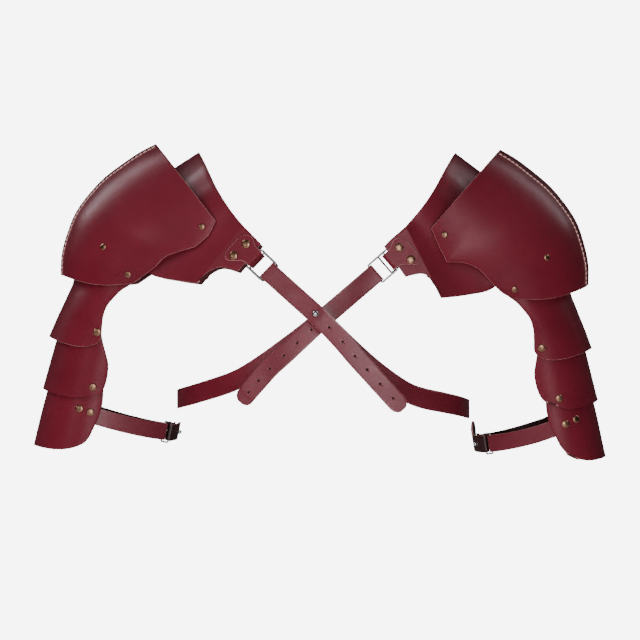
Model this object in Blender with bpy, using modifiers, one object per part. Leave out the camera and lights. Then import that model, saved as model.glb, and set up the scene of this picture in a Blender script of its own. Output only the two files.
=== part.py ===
# Shoulder harness: two leather shoulder guards joined by two crossed chest straps.
# Metres, +Z up, +Y to the wearer's back. The origin lies between the two shoulders, on top of them.
# Short tables are in millimetres. A side's own frame has X pointing outward from the neck.

import math

import bmesh
import bpy
from mathutils import Matrix, Vector
from mathutils.bvhtree import BVHTree

MM = 0.001
LEATHER = 2.0 * MM
GAP = 0.3 * MM

# The wearer's left guard sits unlike the right one: its outer end hangs lower, and it has slipped
# a little forward and inward on the shoulder.
LEFT_ROLL = math.radians(3.1)
LEFT_PITCH = math.radians(3.4)
LEFT_YAW = math.radians(-3.3)
ROLL_PIVOT = Vector((68.2, 0.0, -81.9)) * MM
SLIP_PIVOT = Vector((200.0, 0.0, -40.0)) * MM
# The left ring and the yoke's end that holds it sit this much higher.
LEFT_REACH = Vector((0.0, 0.0, 3.0)) * MM

# Cap: each row runs from the arched ridge (x, z) to the hem (x, z), this deep from front to middle,
# and its middle sags by the last number. First row: neck side. Last row: outer end.
CAP_TABLE = [
    # ridge x, ridge z, hem x, hem z, depth, sag
    (177.5, 38.2, 112.8, -45.0, 86.0, 0.0),
    (194.4, 29.6, 121.2, -60.3, 87.0, 0.0),
    (213.2, 17.0, 134.6, -71.7, 87.0, 0.0),
    (232.1, 2.4, 150.7, -76.4, 86.0, 0.0),
    (248.6, -15.2, 165.4, -82.4, 84.0, 0.0),
    (262.0, -34.0, 176.4, -92.9, 80.0, 0.5),
    (270.9, -55.8, 185.1, -99.4, 77.0, 1.5),
    (276.7, -77.7, 192.4, -104.6, 74.5, 3.5),
    (277.9, -99.3, 198.9, -109.1, 72.0, 6.0),
]
# The left cap's hem hangs lower: how far each row's hem is moved (x, z) and how much deeper it stands.
LEFT_CAP_SLIP = [
    (0.0, 0.0, 0.0),
    (0.0, -1.5, 1.0),
    (-3.7, -7.2, 3.0),
    (-1.2, -2.6, 1.5),
    (-0.6, -2.9, 0.0),
    (0.3, -4.0, 0.0),
    (0.2, -5.8, 0.0),
    (-0.1, -5.6, 0.0),
    (0.7, -4.1, 0.0),
]
CAP_SEAM = math.radians(11.0)
CAP_LAP = math.radians(6.0)
# Angles where the back panel's dip under the front panel ends, and where it has come back out.
CAP_DIP_END = CAP_SEAM - 0.05
CAP_DIP_OUT = -0.04

# Yoke: each row runs from the neck edge (x, z, depth) to the outer edge (x, z, depth).
# First row: on top of the shoulder. Last row: where the ring's tab is riveted on. The last four rows
# are flat, in the ring's plane, so they give no depth.
YOKE_TABLE = [
    # neck x, neck z, neck depth, outer x, outer z, outer depth
    (132.3, 29.4, 0.0, 194.2, -10.5, 0.0),
    (126.1, 16.6, 38.0, 195.9, -38.6, 38.0),
    (117.2, -2.9, 62.0, 195.0, -64.0, 62.0),
    (110.7, -14.6, 74.0, 190.4, -82.9, 71.0),
    (103.3, -26.2, 82.0, 180.8, -99.5, 74.0),
    (93.9, -38.7, 87.0, 154.8, -105.7, 84.5),
    (84.5, -49.6, None, 131.9, -108.9, None),
    (78.3, -55.8, None, 122.2, -98.4, None),
    (72.1, -62.1, None, 108.1, -92.2, None),
    (66.2, -68.4, None, 90.3, -96.9, None),
]
# The left yoke lies wider open. How far each of its rows is moved: neck edge x and z, outer edge x and z.
LEFT_YOKE_SLIP = [
    (-1.5, 3.0, 0.0, 0.0),
    (-2.0, 2.0, 0.0, 0.0),
    (-2.2, 1.5, 0.0, 0.0),
    (-2.0, 1.2, 0.0, -1.0),
    (-2.0, 1.0, -1.3, -4.8),
    (-1.8, 1.4, -1.8, -6.3),
    (2.5, 5.5, -4.5, -6.7),
    (-1.2, 2.6, -6.3, 1.0),
    (-0.8, 3.2, -1.9, 0.4),
    (-0.3, 3.0, -0.6, 1.2),
]

# The arm's own frame: s runs down the arm, w outward across it, from a point in the shoulder.
ARM_TOP = Vector((217.0, 0.0, -96.0)) * MM
ARM_SPLAY = math.radians(12.0)
DOWN_ARM = Vector((math.sin(ARM_SPLAY), 0.0, -math.cos(ARM_SPLAY)))
ACROSS_ARM = Vector((math.cos(ARM_SPLAY), 0.0, math.sin(ARM_SPLAY)))

# Lames: each row is an arc round the arm. It starts at s on the outside and ends at s on its front
# and back edges, reaches w outward, is centred at w, is this deep, and its edges lie at w.
UPPER_LAME = [
    # s outside, s edge, w outward, w centre, depth, w edge
    (-32.0, -10.0, 46.0, -14.0, 66.5, -24.0),
    (-12.0, 2.0, 45.5, -14.0, 66.5, -22.0),
    (6.0, 11.1, 44.5, -14.0, 66.5, -17.7),
    (22.0, 18.2, 44.0, -12.5, 66.5, -10.6),
    (34.0, 28.2, 46.5, -9.5, 65.5, -3.9),
    (46.0, 38.5, 49.2, -6.0, 63.5, 1.2),
    (58.0, 50.0, 52.0, -3.0, 60.5, 2.7),
    (69.0, 62.0, 54.3, -1.0, 58.6, 1.6),
    (76.5, 71.5, 55.8, -0.4, 57.8, 0.6),
    (81.7, 77.5, 56.8, 0.0, 57.3, 3.2),
]
MIDDLE_LAME = [
    (58.0, 54.0, 47.2, 0.0, 56.0, 3.6),
    (70.0, 66.0, 47.8, 0.0, 55.2, 1.6),
    (82.0, 76.0, 48.4, 0.0, 54.6, -2.6),
    (94.0, 86.0, 49.2, 0.0, 54.1, -7.6),
    (106.0, 96.0, 50.0, 0.0, 53.7, -12.2),
    (117.0, 108.0, 50.7, 0.0, 53.3, -14.0),
    (127.0, 119.0, 51.3, 0.0, 52.9, -13.6),
    (133.0, 126.0, 51.7, 0.0, 52.7, -11.5),
    (136.5, 129.5, 51.9, 0.0, 52.6, -7.0),
]
LOWER_LAME = [
    (112.0, 108.0, 45.5, 0.0, 49.6, -10.0),
    (126.0, 122.0, 46.2, 0.0, 49.3, -12.5),
    (139.5, 137.0, 46.9, 0.0, 49.2, -14.6),
    (157.0, 151.0, 47.9, 0.0, 49.6, -14.0),
    (174.0, 165.0, 48.5, 0.0, 49.7, -11.0),
    (186.0, 175.0, 48.8, 0.0, 49.6, -8.4),
    (193.0, 182.0, 48.9, 0.0, 49.5, -4.5),
    (196.2, 187.0, 49.0, 0.0, 49.5, 2.0),
]
# How a lame's hem runs from its outside to its edge: it drops first, then turns up at the corner.
UPPER_HEM = (7.0, 6)
MIDDLE_HEM = (6.0, 4)
LOWER_HEM = (0.5, 4)
LAME_ARC_STEPS = 10
# How many degrees each lame's front edge is moved outward round the arm, upper to lower, at its first
# and last row. The left lames have turned on the arm.
LAME_FRONT_TURNS = {
    "right": [(0.0, 0.0), (0.0, 0.0), (0.0, 0.0)],
    "left": [(-2.0, -3.0), (-2.0, 12.0), (14.0, 17.0)],
}
# The same for the back edges, at the first hidden rows and at the rest.
LAME_BACK_TURNS = {
    "right": [(0.0, 11.0), (11.0, 11.0), (11.0, 11.0)],
    "left": [(0.0, 15.0), (16.0, 25.0), (34.0, 34.0)],
}
# How far the left lames have slipped inward across the arm, at the first and the last row.
LAME_SLIP = {
    "right": [(0.0, 0.0), (0.0, 0.0), (0.0, 0.0)],
    "left": [(-4.6, -4.6), (-3.9, -1.8), (-2.2, 0.0)],
}

# Chest rings and the tabs that hold them.
RING_CENTRE = Vector((65.5, -103.7, -90.3)) * MM
RING_ALONG = Vector((-0.723, -0.26, -0.69)).normalized()
RING_ACROSS = Vector((-0.69, 0.0, 0.723)).normalized()
RING_OUT = RING_ACROSS.cross(RING_ALONG).normalized()
RING_WIRE = 2.2 * MM
RING_LENGTH = 21.0 * MM
RING_CORNER = 1.0 * MM
FOLD_RADIUS = RING_WIRE / 2 + GAP + LEATHER / 2
# Tab outline: distance back from the ring's bar, half width, and how far its middle is moved across.
TAB_TABLE = [
    (0.0, 9.4, 0.0),
    (2.7, 9.4, 0.0),
    (7.2, 10.6, 0.6),
    (11.7, 13.6, 1.6),
    (16.2, 16.6, 3.0),
    (20.7, 16.6, 4.0),
    (24.2, 13.8, 4.6),
    (26.2, 8.5, 5.0),
]

# Chest straps, in the wearer's frame: X to the wearer's left.
STRAP_WIDTH = 19.8 * MM
RING_WIDTH = STRAP_WIDTH + 3.0 * MM
STUD_TOP_STRAP = Vector((-9.7, -123.0, -140.9)) * MM
STUD_UNDER_STRAP = Vector((0.5, -112.0, -143.4)) * MM
STRAP_LAYER = LEATHER + GAP
# Ball studs' sizes: the under strap's is small, because the top strap crosses right over it.
TOP_STUD_SCALE = 1.0
UNDER_STUD_SCALE = 0.7
ARM_STUD_SCALE = 0.62
ARM_STUD_ANGLE = {"right": math.radians(4.0), "left": math.radians(14.5)}
# Layer that goes round the body, from the stud on: x, z, depth at the front, depth at the back.
TOP_STRAP_ROUND = [
    (17.4, -167.5, 121.5, 115.0),
    (35.9, -184.9, 117.0, 113.5),
    (55.4, -201.4, 111.0, 110.0),
    (74.0, -214.8, 105.0, 105.0),
    (89.5, -224.2, 97.0, 97.0),
    (105.2, -229.5, 88.0, 88.0),
    (124.2, -233.4, 70.0, 70.0),
    (142.6, -237.6, 41.0, 41.0),
    (150.7, -240.4, 0.0, 0.0),
]
UNDER_STRAP_ROUND = [
    (-11.4, -153.2, 112.0, 112.0),
    (-25.6, -164.4, 111.5, 111.5),
    (-40.1, -175.2, 110.0, 110.0),
    (-60.7, -190.1, 106.0, 106.0),
    (-82.9, -204.3, 98.0, 98.0),
    (-101.0, -213.1, 87.0, 87.0),
    (-133.0, -223.5, 57.0, 57.0),
    (-150.2, -228.4, 24.0, 24.0),
    (-154.3, -229.9, 0.0, 0.0),
]
# Free tail, from the stud on: x, z, depth.
TOP_TAIL = [
    (4.1, -154.5, 126.0),
    (17.9, -169.2, 127.5),
    (30.3, -183.8, 129.5),
    (42.9, -197.7, 131.5),
    (56.3, -212.4, 133.5),
    (69.2, -226.7, 135.5),
    (80.0, -238.6, 136.5),
]
UNDER_TAIL = [
    (-14.0, -156.8, 114.8),
    (-28.7, -170.7, 116.0),
    (-42.3, -183.5, 117.5),
    (-56.7, -196.6, 118.5),
    (-68.1, -209.3, 118.5),
    (-78.4, -221.1, 117.0),
    (-86.8, -231.7, 115.0),
]
TAIL_HOLES = 6
HOLE_DIAMETER = 3.0 * MM
BACK_DEPTH_TOP = 115.5 * MM
BACK_DEPTH_UNDER = 112.0 * MM
BACK_RETURN = 24.0 * MM
TORSO_HALF_WIDTH = 150.0 * MM
TORSO_HALF_DEPTH = 118.0 * MM

# Arm straps: half an ellipse on the arm's inner side, in the arm's own frame.
ARM_STRAP_WIDTH = 17.6 * MM
ARM_LOOP_INWARD = {"right": 95.5 * MM, "left": 85.5 * MM}
ARM_LOOP_S = {"right": 150.8 * MM, "left": 155.5 * MM}
ARM_LOOP_SAG = 4.0 * MM
ARM_LOOP_DROP = {"right": 0.0, "left": 5.0 * MM}
ARM_LOOP_POWER = 1.5
# How clear of the lower lame's inside the straps' face runs, at its front and back and on the outside.
ARM_STRAP_CLEAR = 0.9 * MM
ARM_STRAP_SIDE_CLEAR = 1.9 * MM
ARM_LOOP_DEPTH = LOWER_LAME[2][4] * MM - LEATHER - ARM_STRAP_CLEAR - LEATHER / 2
LAME_SIDE_REACH = LOWER_LAME[2][2] * MM - LEATHER - ARM_STRAP_SIDE_CLEAR - LEATHER / 2
ARM_RING_WIRE = 1.8 * MM
ARM_FOLD_RADIUS = ARM_RING_WIRE / 2 + GAP + LEATHER / 2
ARM_BAR_FRONT = {"right": math.radians(26.0), "left": math.radians(32.0)}
ARM_BAR_INNER = {"right": math.radians(17.5), "left": math.radians(24.5)}
ARM_STRAP_END = {"right": math.radians(110.0), "left": math.radians(138.0)}
ARM_STRAP_BACK_END = math.radians(138.0)
# Where the front strap's return ends and the back strap's last stretches start, round the loop.
ARM_RETURN_STEP = math.radians(6.0)
ARM_TURN_START = math.radians(-14.0)
ARM_FOLD_START = math.radians(6.5)
ARM_RING_WIDTH = ARM_STRAP_WIDTH + 3.6 * MM
# How far each side's arm strap tail rises over its last stretch.
ARM_TAIL_LIFT = {"right": 2.0 * MM, "left": 20.0 * MM}
# The arm strap's tail past the loop's inner end: away from the arm, back, share of the rise, width.
ARM_TAIL_TABLE = [
    (0.2, 5.0, 0.04, 1.0),
    (0.1, 10.0, 0.18, 1.0),
    (-0.5, 15.0, 0.42, 0.95),
    (-1.4, 20.0, 0.72, 0.7),
    (-2.0, 23.5, 0.95, 0.32),
]

# Rivets: place in the side's frame (x, z) at the front, head diameter.
LAME_RIVET = 8.0 * MM
CAP_RIVET = 6.5 * MM
TAB_RIVET = 9.0 * MM
RIVET_SHANK = 2.4 * MM
RIVET_HOLE = 3.4 * MM
CAP_LAME_RIVETS = {"right": [(229.8, -71.2), (203.9, -100.1)], "left": [(233.1, -69.8), (201.8, -104.1)]}
CAP_YOKE_RIVET = (127.0, -50.7)
# Rivets between the lames, in the arm's frame (s, w): at the front of each side, and at both backs.
UPPER_MIDDLE_RIVET = {"right": (66.4, 5.8), "left": (70.0, 1.2), "back": (66.4, 20.0)}
MIDDLE_LOWER_RIVET = {"right": (123.0, -1.5), "left": (125.1, 10.9), "back": (123.0, 22.0)}
LOWER_STRAP_RIVETS = {"right": [(147.8, 7.7), (149.1, -4.3)], "left": [(149.8, 24.7), (152.8, 13.2)]}
TAB_RIVETS = [(81.3, -68.9), (94.1, -80.8)]
# How far outside the harness the search for a rivet's place starts, and how far it looks.
RIVET_SEARCH = 160.0 * MM
STUD_SEARCH = 30.0 * MM
ARM_STUD_SEARCH = 12.0 * MM
LONG_SEARCH = 200.0 * MM
SHORT_SEARCH = 16.0 * MM


def clear_scene():
    for item in list(bpy.data.objects):
        bpy.data.objects.remove(item, do_unlink=True)


def new_collection(name):
    collection = bpy.data.collections.new(name)
    bpy.context.scene.collection.children.link(collection)
    return collection


def new_material(name, colour, metallic, roughness):
    material = bpy.data.materials.new(name)
    material.use_nodes = True
    shader = material.node_tree.nodes["Principled BSDF"]
    shader.inputs["Base Color"].default_value = (*colour, 1.0)
    shader.inputs["Metallic"].default_value = metallic
    shader.inputs["Roughness"].default_value = roughness
    return material


clear_scene()
PARTS = new_collection("shoulder_harness")
CUTTERS = new_collection("cutters")
BURGUNDY = new_material("burgundy_leather", (0.13, 0.012, 0.022), 0.0, 0.42)
CHROME = new_material("chrome", (0.62, 0.62, 0.64), 1.0, 0.16)
BRASS = new_material("antique_brass", (0.30, 0.20, 0.10), 1.0, 0.34)


def add_object(name, mesh, material, parent):
    item = bpy.data.objects.new(name, mesh)
    if material:
        mesh.materials.append(material)
    PARTS.objects.link(item)
    item.parent = parent
    return item


def add_sheet(name, rows, material, parent, offset=-1.0, even=True):
    """A leather piece: an open grid through the rows of points, given its thickness.

    A twisted grid takes its thickness straight along its normals, not evened out."""
    mesh = bpy.data.meshes.new(name)
    across = len(rows[0])
    points = [tuple(point) for row in rows for point in row]
    faces = []
    for i in range(len(rows) - 1):
        for j in range(across - 1):
            a = i * across + j
            faces.append((a, a + 1, a + across + 1, a + across))
    mesh.from_pydata(points, [], faces)
    mesh.shade_smooth()
    item = add_object(name, mesh, material, parent)
    solidify = item.modifiers.new("thickness", "SOLIDIFY")
    solidify.thickness = LEATHER
    solidify.offset = offset
    solidify.use_even_offset = even
    solidify.use_quality_normals = True
    return item


def sheet_normals(rows):
    """The unit normal of a grid at each of its points."""
    normals = []
    for i, row in enumerate(rows):
        line = []
        for j in range(len(row)):
            along = rows[min(i + 1, len(rows) - 1)][j] - rows[max(i - 1, 0)][j]
            across = row[min(j + 1, len(row) - 1)] - row[max(j - 1, 0)]
            line.append(across.cross(along).normalized())
        normals.append(line)
    return normals


def add_turned(name, profile, material, parent, place, axis, steps):
    """A turned piece: its profile (radius, height), from the top centre down, spun round its axis."""
    mesh = bpy.data.meshes.new(name)
    points = [(radius, 0.0, height) for radius, height in profile]
    edges = [(i, i + 1) for i in range(len(points) - 1)]
    mesh.from_pydata(points, edges, [])
    item = add_object(name, mesh, material, parent)
    item.location = place
    item.rotation_mode = "QUATERNION"
    item.rotation_quaternion = axis.to_track_quat("Z", "Y")
    screw = item.modifiers.new("turn", "SCREW")
    screw.steps = steps
    screw.render_steps = steps
    screw.use_merge_vertices = True
    screw.merge_threshold = 0.00001
    return item


def add_wire_loop(name, points, wire, parent):
    """A closed wire through the points."""
    curve = bpy.data.curves.new(name, "CURVE")
    curve.dimensions = "3D"
    curve.bevel_depth = wire / 2
    curve.bevel_resolution = 1
    spline = curve.splines.new("POLY")
    spline.points.add(len(points) - 1)
    for target, point in zip(spline.points, points):
        target.co = (*point, 1.0)
    spline.use_cyclic_u = True
    curve.materials.append(CHROME)
    item = bpy.data.objects.new(name, curve)
    PARTS.objects.link(item)
    item.parent = parent
    return item


def add_cutter(name, place, axis, length, diameter, parent):
    """A six-sided punch centred on the place."""
    shape = bmesh.new()
    radius = diameter / 2
    bmesh.ops.create_cone(shape, cap_ends=True, segments=6, radius1=radius, radius2=radius, depth=length)
    mesh = bpy.data.meshes.new(name)
    shape.to_mesh(mesh)
    shape.free()
    cutter = bpy.data.objects.new(name, mesh)
    CUTTERS.objects.link(cutter)
    cutter.parent = parent
    cutter.location = place
    cutter.rotation_mode = "QUATERNION"
    cutter.rotation_quaternion = axis.to_track_quat("Z", "Y")
    cutter.hide_render = True
    cutter.display_type = "WIRE"
    return cutter


def punch(sheet, cutter):
    cut = sheet.modifiers.new(cutter.name, "BOOLEAN")
    cut.operation = "DIFFERENCE"
    cut.object = cutter


def smooth_rows(table, steps):
    """More rows between a table's rows, on a curve through them."""
    rows = []
    for i in range(len(table) - 1):
        before = table[max(i - 1, 0)]
        first, second = table[i], table[i + 1]
        after = table[min(i + 2, len(table) - 1)]
        for k in range(steps):
            t = k / steps
            rows.append([
                0.5 * (2 * q + (r - p) * t + (2 * p - 5 * q + 4 * r - s) * t * t
                       + (3 * q - p - 3 * r + s) * t ** 3)
                for p, q, r, s in zip(before, first, second, after)
            ])
    rows.append(list(table[-1]))
    return rows


def cap_point(row, angle):
    """A point of the cap's skin: angle 0 is the ridge, a right angle the hem."""
    ridge_x, ridge_z, hem_x, hem_z, depth, sag = row
    share = 1.0 - math.cos(angle)
    x = ridge_x + (hem_x - ridge_x) * share
    z = ridge_z + (hem_z - ridge_z) * share - sag * math.sin(math.pi * share)
    return Vector((x, -depth * math.sin(angle), z)) * MM


def cap_rows(side):
    """The cap's rows on one side, with the left hem's slip."""
    if side == "right":
        return CAP_TABLE
    rows = []
    for row, (hem_x, hem_z, deeper) in zip(CAP_TABLE, LEFT_CAP_SLIP):
        rows.append((row[0], row[1], row[2] + hem_x, row[3] + hem_z, row[4] + deeper, row[5]))
    return rows


def make_cap(side, parent):
    rows = cap_rows(side)
    quarter = math.pi / 2
    first = CAP_SEAM + CAP_LAP
    front_angles = [CAP_SEAM] + [first + (quarter - first) * k / 4 for k in range(5)]
    front = [[cap_point(row, angle) for angle in front_angles] for row in rows]
    cap_front = add_sheet(side + "_cap_front", front, BURGUNDY, parent)

    # The back panel dips under the front panel's edge, where the two are sewn together.
    dip = LEATHER + GAP
    back_angles = [CAP_SEAM + CAP_LAP, CAP_SEAM, CAP_DIP_END, CAP_DIP_OUT]
    back_dips = [dip, dip, dip, 0.0]
    for k in range(1, 5):
        back_angles.append(-quarter * k / 4)
        back_dips.append(0.0)
    skin = [[cap_point(row, angle) for angle in back_angles] for row in rows]
    normals = sheet_normals(skin)
    back = []
    for row, line in zip(skin, normals):
        back.append([point + normal * depth for point, normal, depth in zip(row, line, back_dips)])
    back = [list(reversed(row)) for row in back]
    cap_back = add_sheet(side + "_cap_back", back, BURGUNDY, parent)
    return cap_front, cap_back


def on_ring_plane(point, reach):
    """The point moved front or back until the middle of the leather there is in the ring's plane."""
    away = (point - RING_CENTRE - reach).dot(RING_OUT) - LEATHER / 2
    return point - Vector((0.0, away / RING_OUT.y, 0.0))


def yoke_row(side, index, reach, face):
    slip = LEFT_YOKE_SLIP[index] if side == "left" else (0.0, 0.0, 0.0, 0.0)
    row = YOKE_TABLE[index]
    ends = []
    for (x, z, depth), (slip_x, slip_z) in zip((row[:3], row[3:]), (slip[:2], slip[2:])):
        if depth is None:
            point = on_ring_plane(Vector((x + slip_x, 0.0, z + slip_z)) * MM, reach)
        else:
            point = Vector((x + slip_x, -depth, z + slip_z)) * MM
        ends.append(point if face < 0 else mirror_y(point))
    return [ends[0].lerp(ends[1], k / 4) for k in range(5)]


def make_yoke(side, parent, reach):
    last = len(YOKE_TABLE) - 1
    rows = [yoke_row(side, i, reach, -1) for i in range(last, 0, -1)]
    rows += [yoke_row(side, i, reach, 1) for i in range(last + 1)]
    return add_sheet(side + "_yoke", rows, BURGUNDY, parent, even=False)


def arm_point(s, w, y):
    return ARM_TOP + DOWN_ARM * s + ACROSS_ARM * w + Vector((0.0, y, 0.0))


def lame_row(row, first, last, hem, turns, slip):
    s_outside, s_edge, w_outward, w_centre, depth, w_edge = row
    rise, corner = hem
    rise = rise * (s_outside - first) / (last - first)
    end = math.acos((w_edge - w_centre) / (w_outward - w_centre))
    points = []
    for k in range(LAME_ARC_STEPS + 1):
        turn = 2.0 * k / LAME_ARC_STEPS - 1.0
        angle = end * turn + turns[0] * (1.0 - turn) / 2 - turns[1] * (1.0 + turn) / 2
        share = math.sqrt(turn * turn + 0.01) - 0.1
        share = min(share / (math.sqrt(1.01) - 0.1), 1.0)
        s = s_outside + rise * share + (s_edge - s_outside - rise) * share ** corner
        w = w_centre + (w_outward - w_centre) * math.cos(angle) + slip
        points.append(arm_point(s * MM, w * MM, depth * math.sin(angle) * MM))
    return points


def make_lame(side, name, order, table, hem, parent):
    first, last = table[0][0], table[-1][0]
    front, back, slips = LAME_FRONT_TURNS[side][order], LAME_BACK_TURNS[side][order], LAME_SLIP[side][order]
    rows = []
    for i, row in enumerate(table):
        down = i / (len(table) - 1)
        shown = min(max(i - 1, 0) / 2, 1.0)
        turns = (math.radians(front[0] + (front[1] - front[0]) * down),
                 math.radians(back[0] + (back[1] - back[0]) * shown))
        slip = slips[0] + (slips[1] - slips[0]) * down
        rows.append(lame_row(row, first, last, hem, turns, slip))
    return add_sheet(side + "_" + name, rows, BURGUNDY, parent, offset=1.0)


def mirror_y(point):
    return Vector((point.x, -point.y, point.z))


def ring_points(centre, along, across, length, width):
    """A rectangle with chamfered corners."""
    corners = [(1, 1), (-1, 1), (-1, -1), (1, -1)]
    points = []
    for a, b in corners:
        first = (a * length / 2, b * (width / 2 - RING_CORNER))
        second = (a * (length / 2 - RING_CORNER), b * width / 2)
        pair = [first, second] if a * b > 0 else [second, first]
        points += [centre + along * u + across * v for u, v in pair]
    return points


def make_tab(side, face, parent, reach):
    """The tab: its back leaf lies under the yoke, and its front leaf over it."""
    bar = RING_CENTRE + reach - RING_ALONG * RING_LENGTH / 2
    stations = []
    for back, half, move in reversed(TAB_TABLE[1:]):
        stations.append((-RING_ALONG * back * MM - RING_OUT * FOLD_RADIUS, half, move))
    for k in range(5):
        angle = math.pi * k / 4
        turn = RING_ALONG * math.sin(angle) - RING_OUT * math.cos(angle)
        stations.append((turn * FOLD_RADIUS, TAB_TABLE[0][1], TAB_TABLE[0][2]))
    for back, half, move in TAB_TABLE[1:]:
        stations.append((-RING_ALONG * back * MM + RING_OUT * FOLD_RADIUS, half, move))
    rows = []
    for shift, half, move in stations:
        middle = bar + shift - RING_ACROSS * move * MM
        rows.append([middle + RING_ACROSS * half * MM * k for k in (-1.0, 0.0, 1.0)])
    if face == "back":
        rows = [[mirror_y(point) for point in row] for row in rows]
    return add_sheet(side + "_tab_" + face, rows, BURGUNDY, parent, offset=0.0)


def make_ring(side, face, parent, reach):
    points = ring_points(RING_CENTRE + reach, RING_ALONG, RING_ACROSS, RING_LENGTH, RING_WIDTH)
    if face == "back":
        points = [mirror_y(point) for point in points]
    return add_wire_loop(side + "_ring_" + face, points, RING_WIRE, parent)


def ribbon_rows(stations, width):
    """Edge pairs along a strap. A station is a point, the way its width runs, and a width share."""
    return [[point - across * width * share / 2, point + across * width * share / 2]
            for point, across, share in stations]


def loop_point(side, angle, inward):
    """A point of the arm strap's loop: angle 0 is its inner end, a right angle its front.

    Inside the lame it follows an ellipse, and beyond it a flatter curve to the inner end.
    """
    across, deep = math.cos(angle), math.sin(angle)
    s = ARM_LOOP_S[side]
    if across < 0:
        return arm_point(s, -LAME_SIDE_REACH * across, -ARM_LOOP_DEPTH * deep)
    power = 2.0 / ARM_LOOP_POWER
    s += ARM_LOOP_SAG * abs(math.sin(2 * angle)) + ARM_LOOP_DROP[side] * across
    depth = math.copysign(abs(deep) ** power, deep) * ARM_LOOP_DEPTH
    return arm_point(s, -inward * across ** power, -depth)


def loop_out(side, angle):
    """The direction away from the arm at a point of the loop."""
    inward = ARM_LOOP_INWARD[side]
    along = loop_point(side, angle + 0.03, inward) - loop_point(side, angle - 0.03, inward)
    out = along.cross(DOWN_ARM).normalized()
    middle = arm_point(ARM_LOOP_S[side], 0.0, 0.0)
    return out if out.dot(loop_point(side, angle, inward) - middle) > 0 else -out


def make_arm_straps(side, parent):
    across = DOWN_ARM
    # Ring between the straps, lying along the loop.
    inward = ARM_LOOP_INWARD[side]
    bar_angle = ARM_BAR_INNER[side]
    outer_front = loop_point(side, ARM_BAR_FRONT[side], inward)
    outer_inner = loop_point(side, bar_angle, inward)
    along = (outer_inner - outer_front).normalized()
    along = (along - across * along.dot(across)).normalized()
    out = across.cross(along).normalized()
    if out.dot(ACROSS_ARM) > 0:
        out = -out
    length = (outer_inner - outer_front).dot(along)
    bar_front = outer_front - out * ARM_FOLD_RADIUS
    centre = bar_front + along * length / 2
    bar_inner = bar_front + along * length
    add_wire_loop(side + "_arm_ring", ring_points(centre, along, across, length, ARM_RING_WIDTH),
                  ARM_RING_WIRE, parent)

    # Front strap: from inside the lower lame to the ring's front bar, round it and back a little.
    stations = []
    for k in range(11):
        angle = ARM_STRAP_END[side] + (ARM_BAR_FRONT[side] - ARM_STRAP_END[side]) * k / 10
        stations.append((loop_point(side, angle, inward), across, 1.0))
    for k in range(1, 5):
        angle = math.pi * k / 5
        turn = along * math.sin(angle) + out * math.cos(angle)
        stations.append((bar_front + turn * ARM_FOLD_RADIUS, across, 1.0))
    stations.append((bar_front - out * ARM_FOLD_RADIUS, across, 1.0))
    for k in (1, 2):
        angle = ARM_BAR_FRONT[side] + ARM_RETURN_STEP * k
        inner = loop_point(side, angle, inward) - loop_out(side, angle) * 2 * ARM_FOLD_RADIUS
        stations.append((inner, across, 1.0))
    rows = ribbon_rows(stations, ARM_STRAP_WIDTH)
    front_strap = add_sheet(side + "_arm_strap_front", rows, BURGUNDY, parent, offset=0.0)

    # Back strap: from inside the lame's back to the ring's inner bar, round it, and its tail.
    stations = []
    fold_start = bar_angle - ARM_FOLD_START
    angles = [(ARM_TURN_START + ARM_STRAP_BACK_END) * k / 8 - ARM_STRAP_BACK_END for k in range(9)]
    for angle in angles + [0.0, fold_start]:
        under = loop_point(side, angle, inward) - loop_out(side, angle) * 2 * ARM_FOLD_RADIUS
        stations.append((under, across, 1.0))
    for k in range(6):
        angle = math.pi * k / 5
        turn = -along * math.sin(angle) - out * math.cos(angle)
        stations.append((bar_inner + turn * ARM_FOLD_RADIUS, across, 1.0))
    points = [(loop_point(side, fold_start * share, inward + 0.5 * MM), 1.0) for share in (1.0, 0.5, 0.0)]
    tip = points[-1][0]
    for away, back, rise, share in ARM_TAIL_TABLE:
        shift = Vector((0.0, back, 0.0)) * MM - ACROSS_ARM * away * MM
        points.append((tip + shift - DOWN_ARM * ARM_TAIL_LIFT[side] * rise, share))
    for i, (point, share) in enumerate(points):
        before = points[max(i - 1, 0)][0]
        after = points[min(i + 1, len(points) - 1)][0]
        way = (after - before).normalized()
        sideways = (across - way * across.dot(way)).normalized()
        stations.append((point, sideways if i > 2 else across, share))
    rows = ribbon_rows(stations, ARM_STRAP_WIDTH)
    back_strap = add_sheet(side + "_arm_strap_back", rows, BURGUNDY, parent, offset=0.0)
    return front_strap, back_strap


def surface_tree(item):
    """The piece's faces with their thickness, for finding where a rivet goes through."""
    bpy.context.view_layer.update()
    return BVHTree.FromObject(item, bpy.context.evaluated_depsgraph_get())


def through(tree, start, way, reach):
    """Every place where a line goes through the piece's faces, with the faces' normals."""
    hits = []
    distance = 0.0
    while distance < reach:
        place, normal, _, step = tree.ray_cast(start + way * distance, way, reach - distance)
        if place is None:
            break
        distance += step + 0.02 * MM
        hits.append((place, normal))
    return hits


def highest(tree, centre, axis, radius):
    """How far along the axis the piece's faces come under a disc of this radius round the centre."""
    side_way = axis.orthogonal().normalized()
    top = -1.0
    for k in range(12):
        spoke = Matrix.Rotation(math.radians(30.0 * k), 3, axis) @ side_way
        for share in (0.5, 1.0):
            start = centre + spoke * radius * share + axis * 12.0 * MM
            hits = through(tree, start, -axis, 30.0 * MM)
            if hits:
                top = max(top, (hits[0][0] - centre).dot(axis))
    return top


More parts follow.
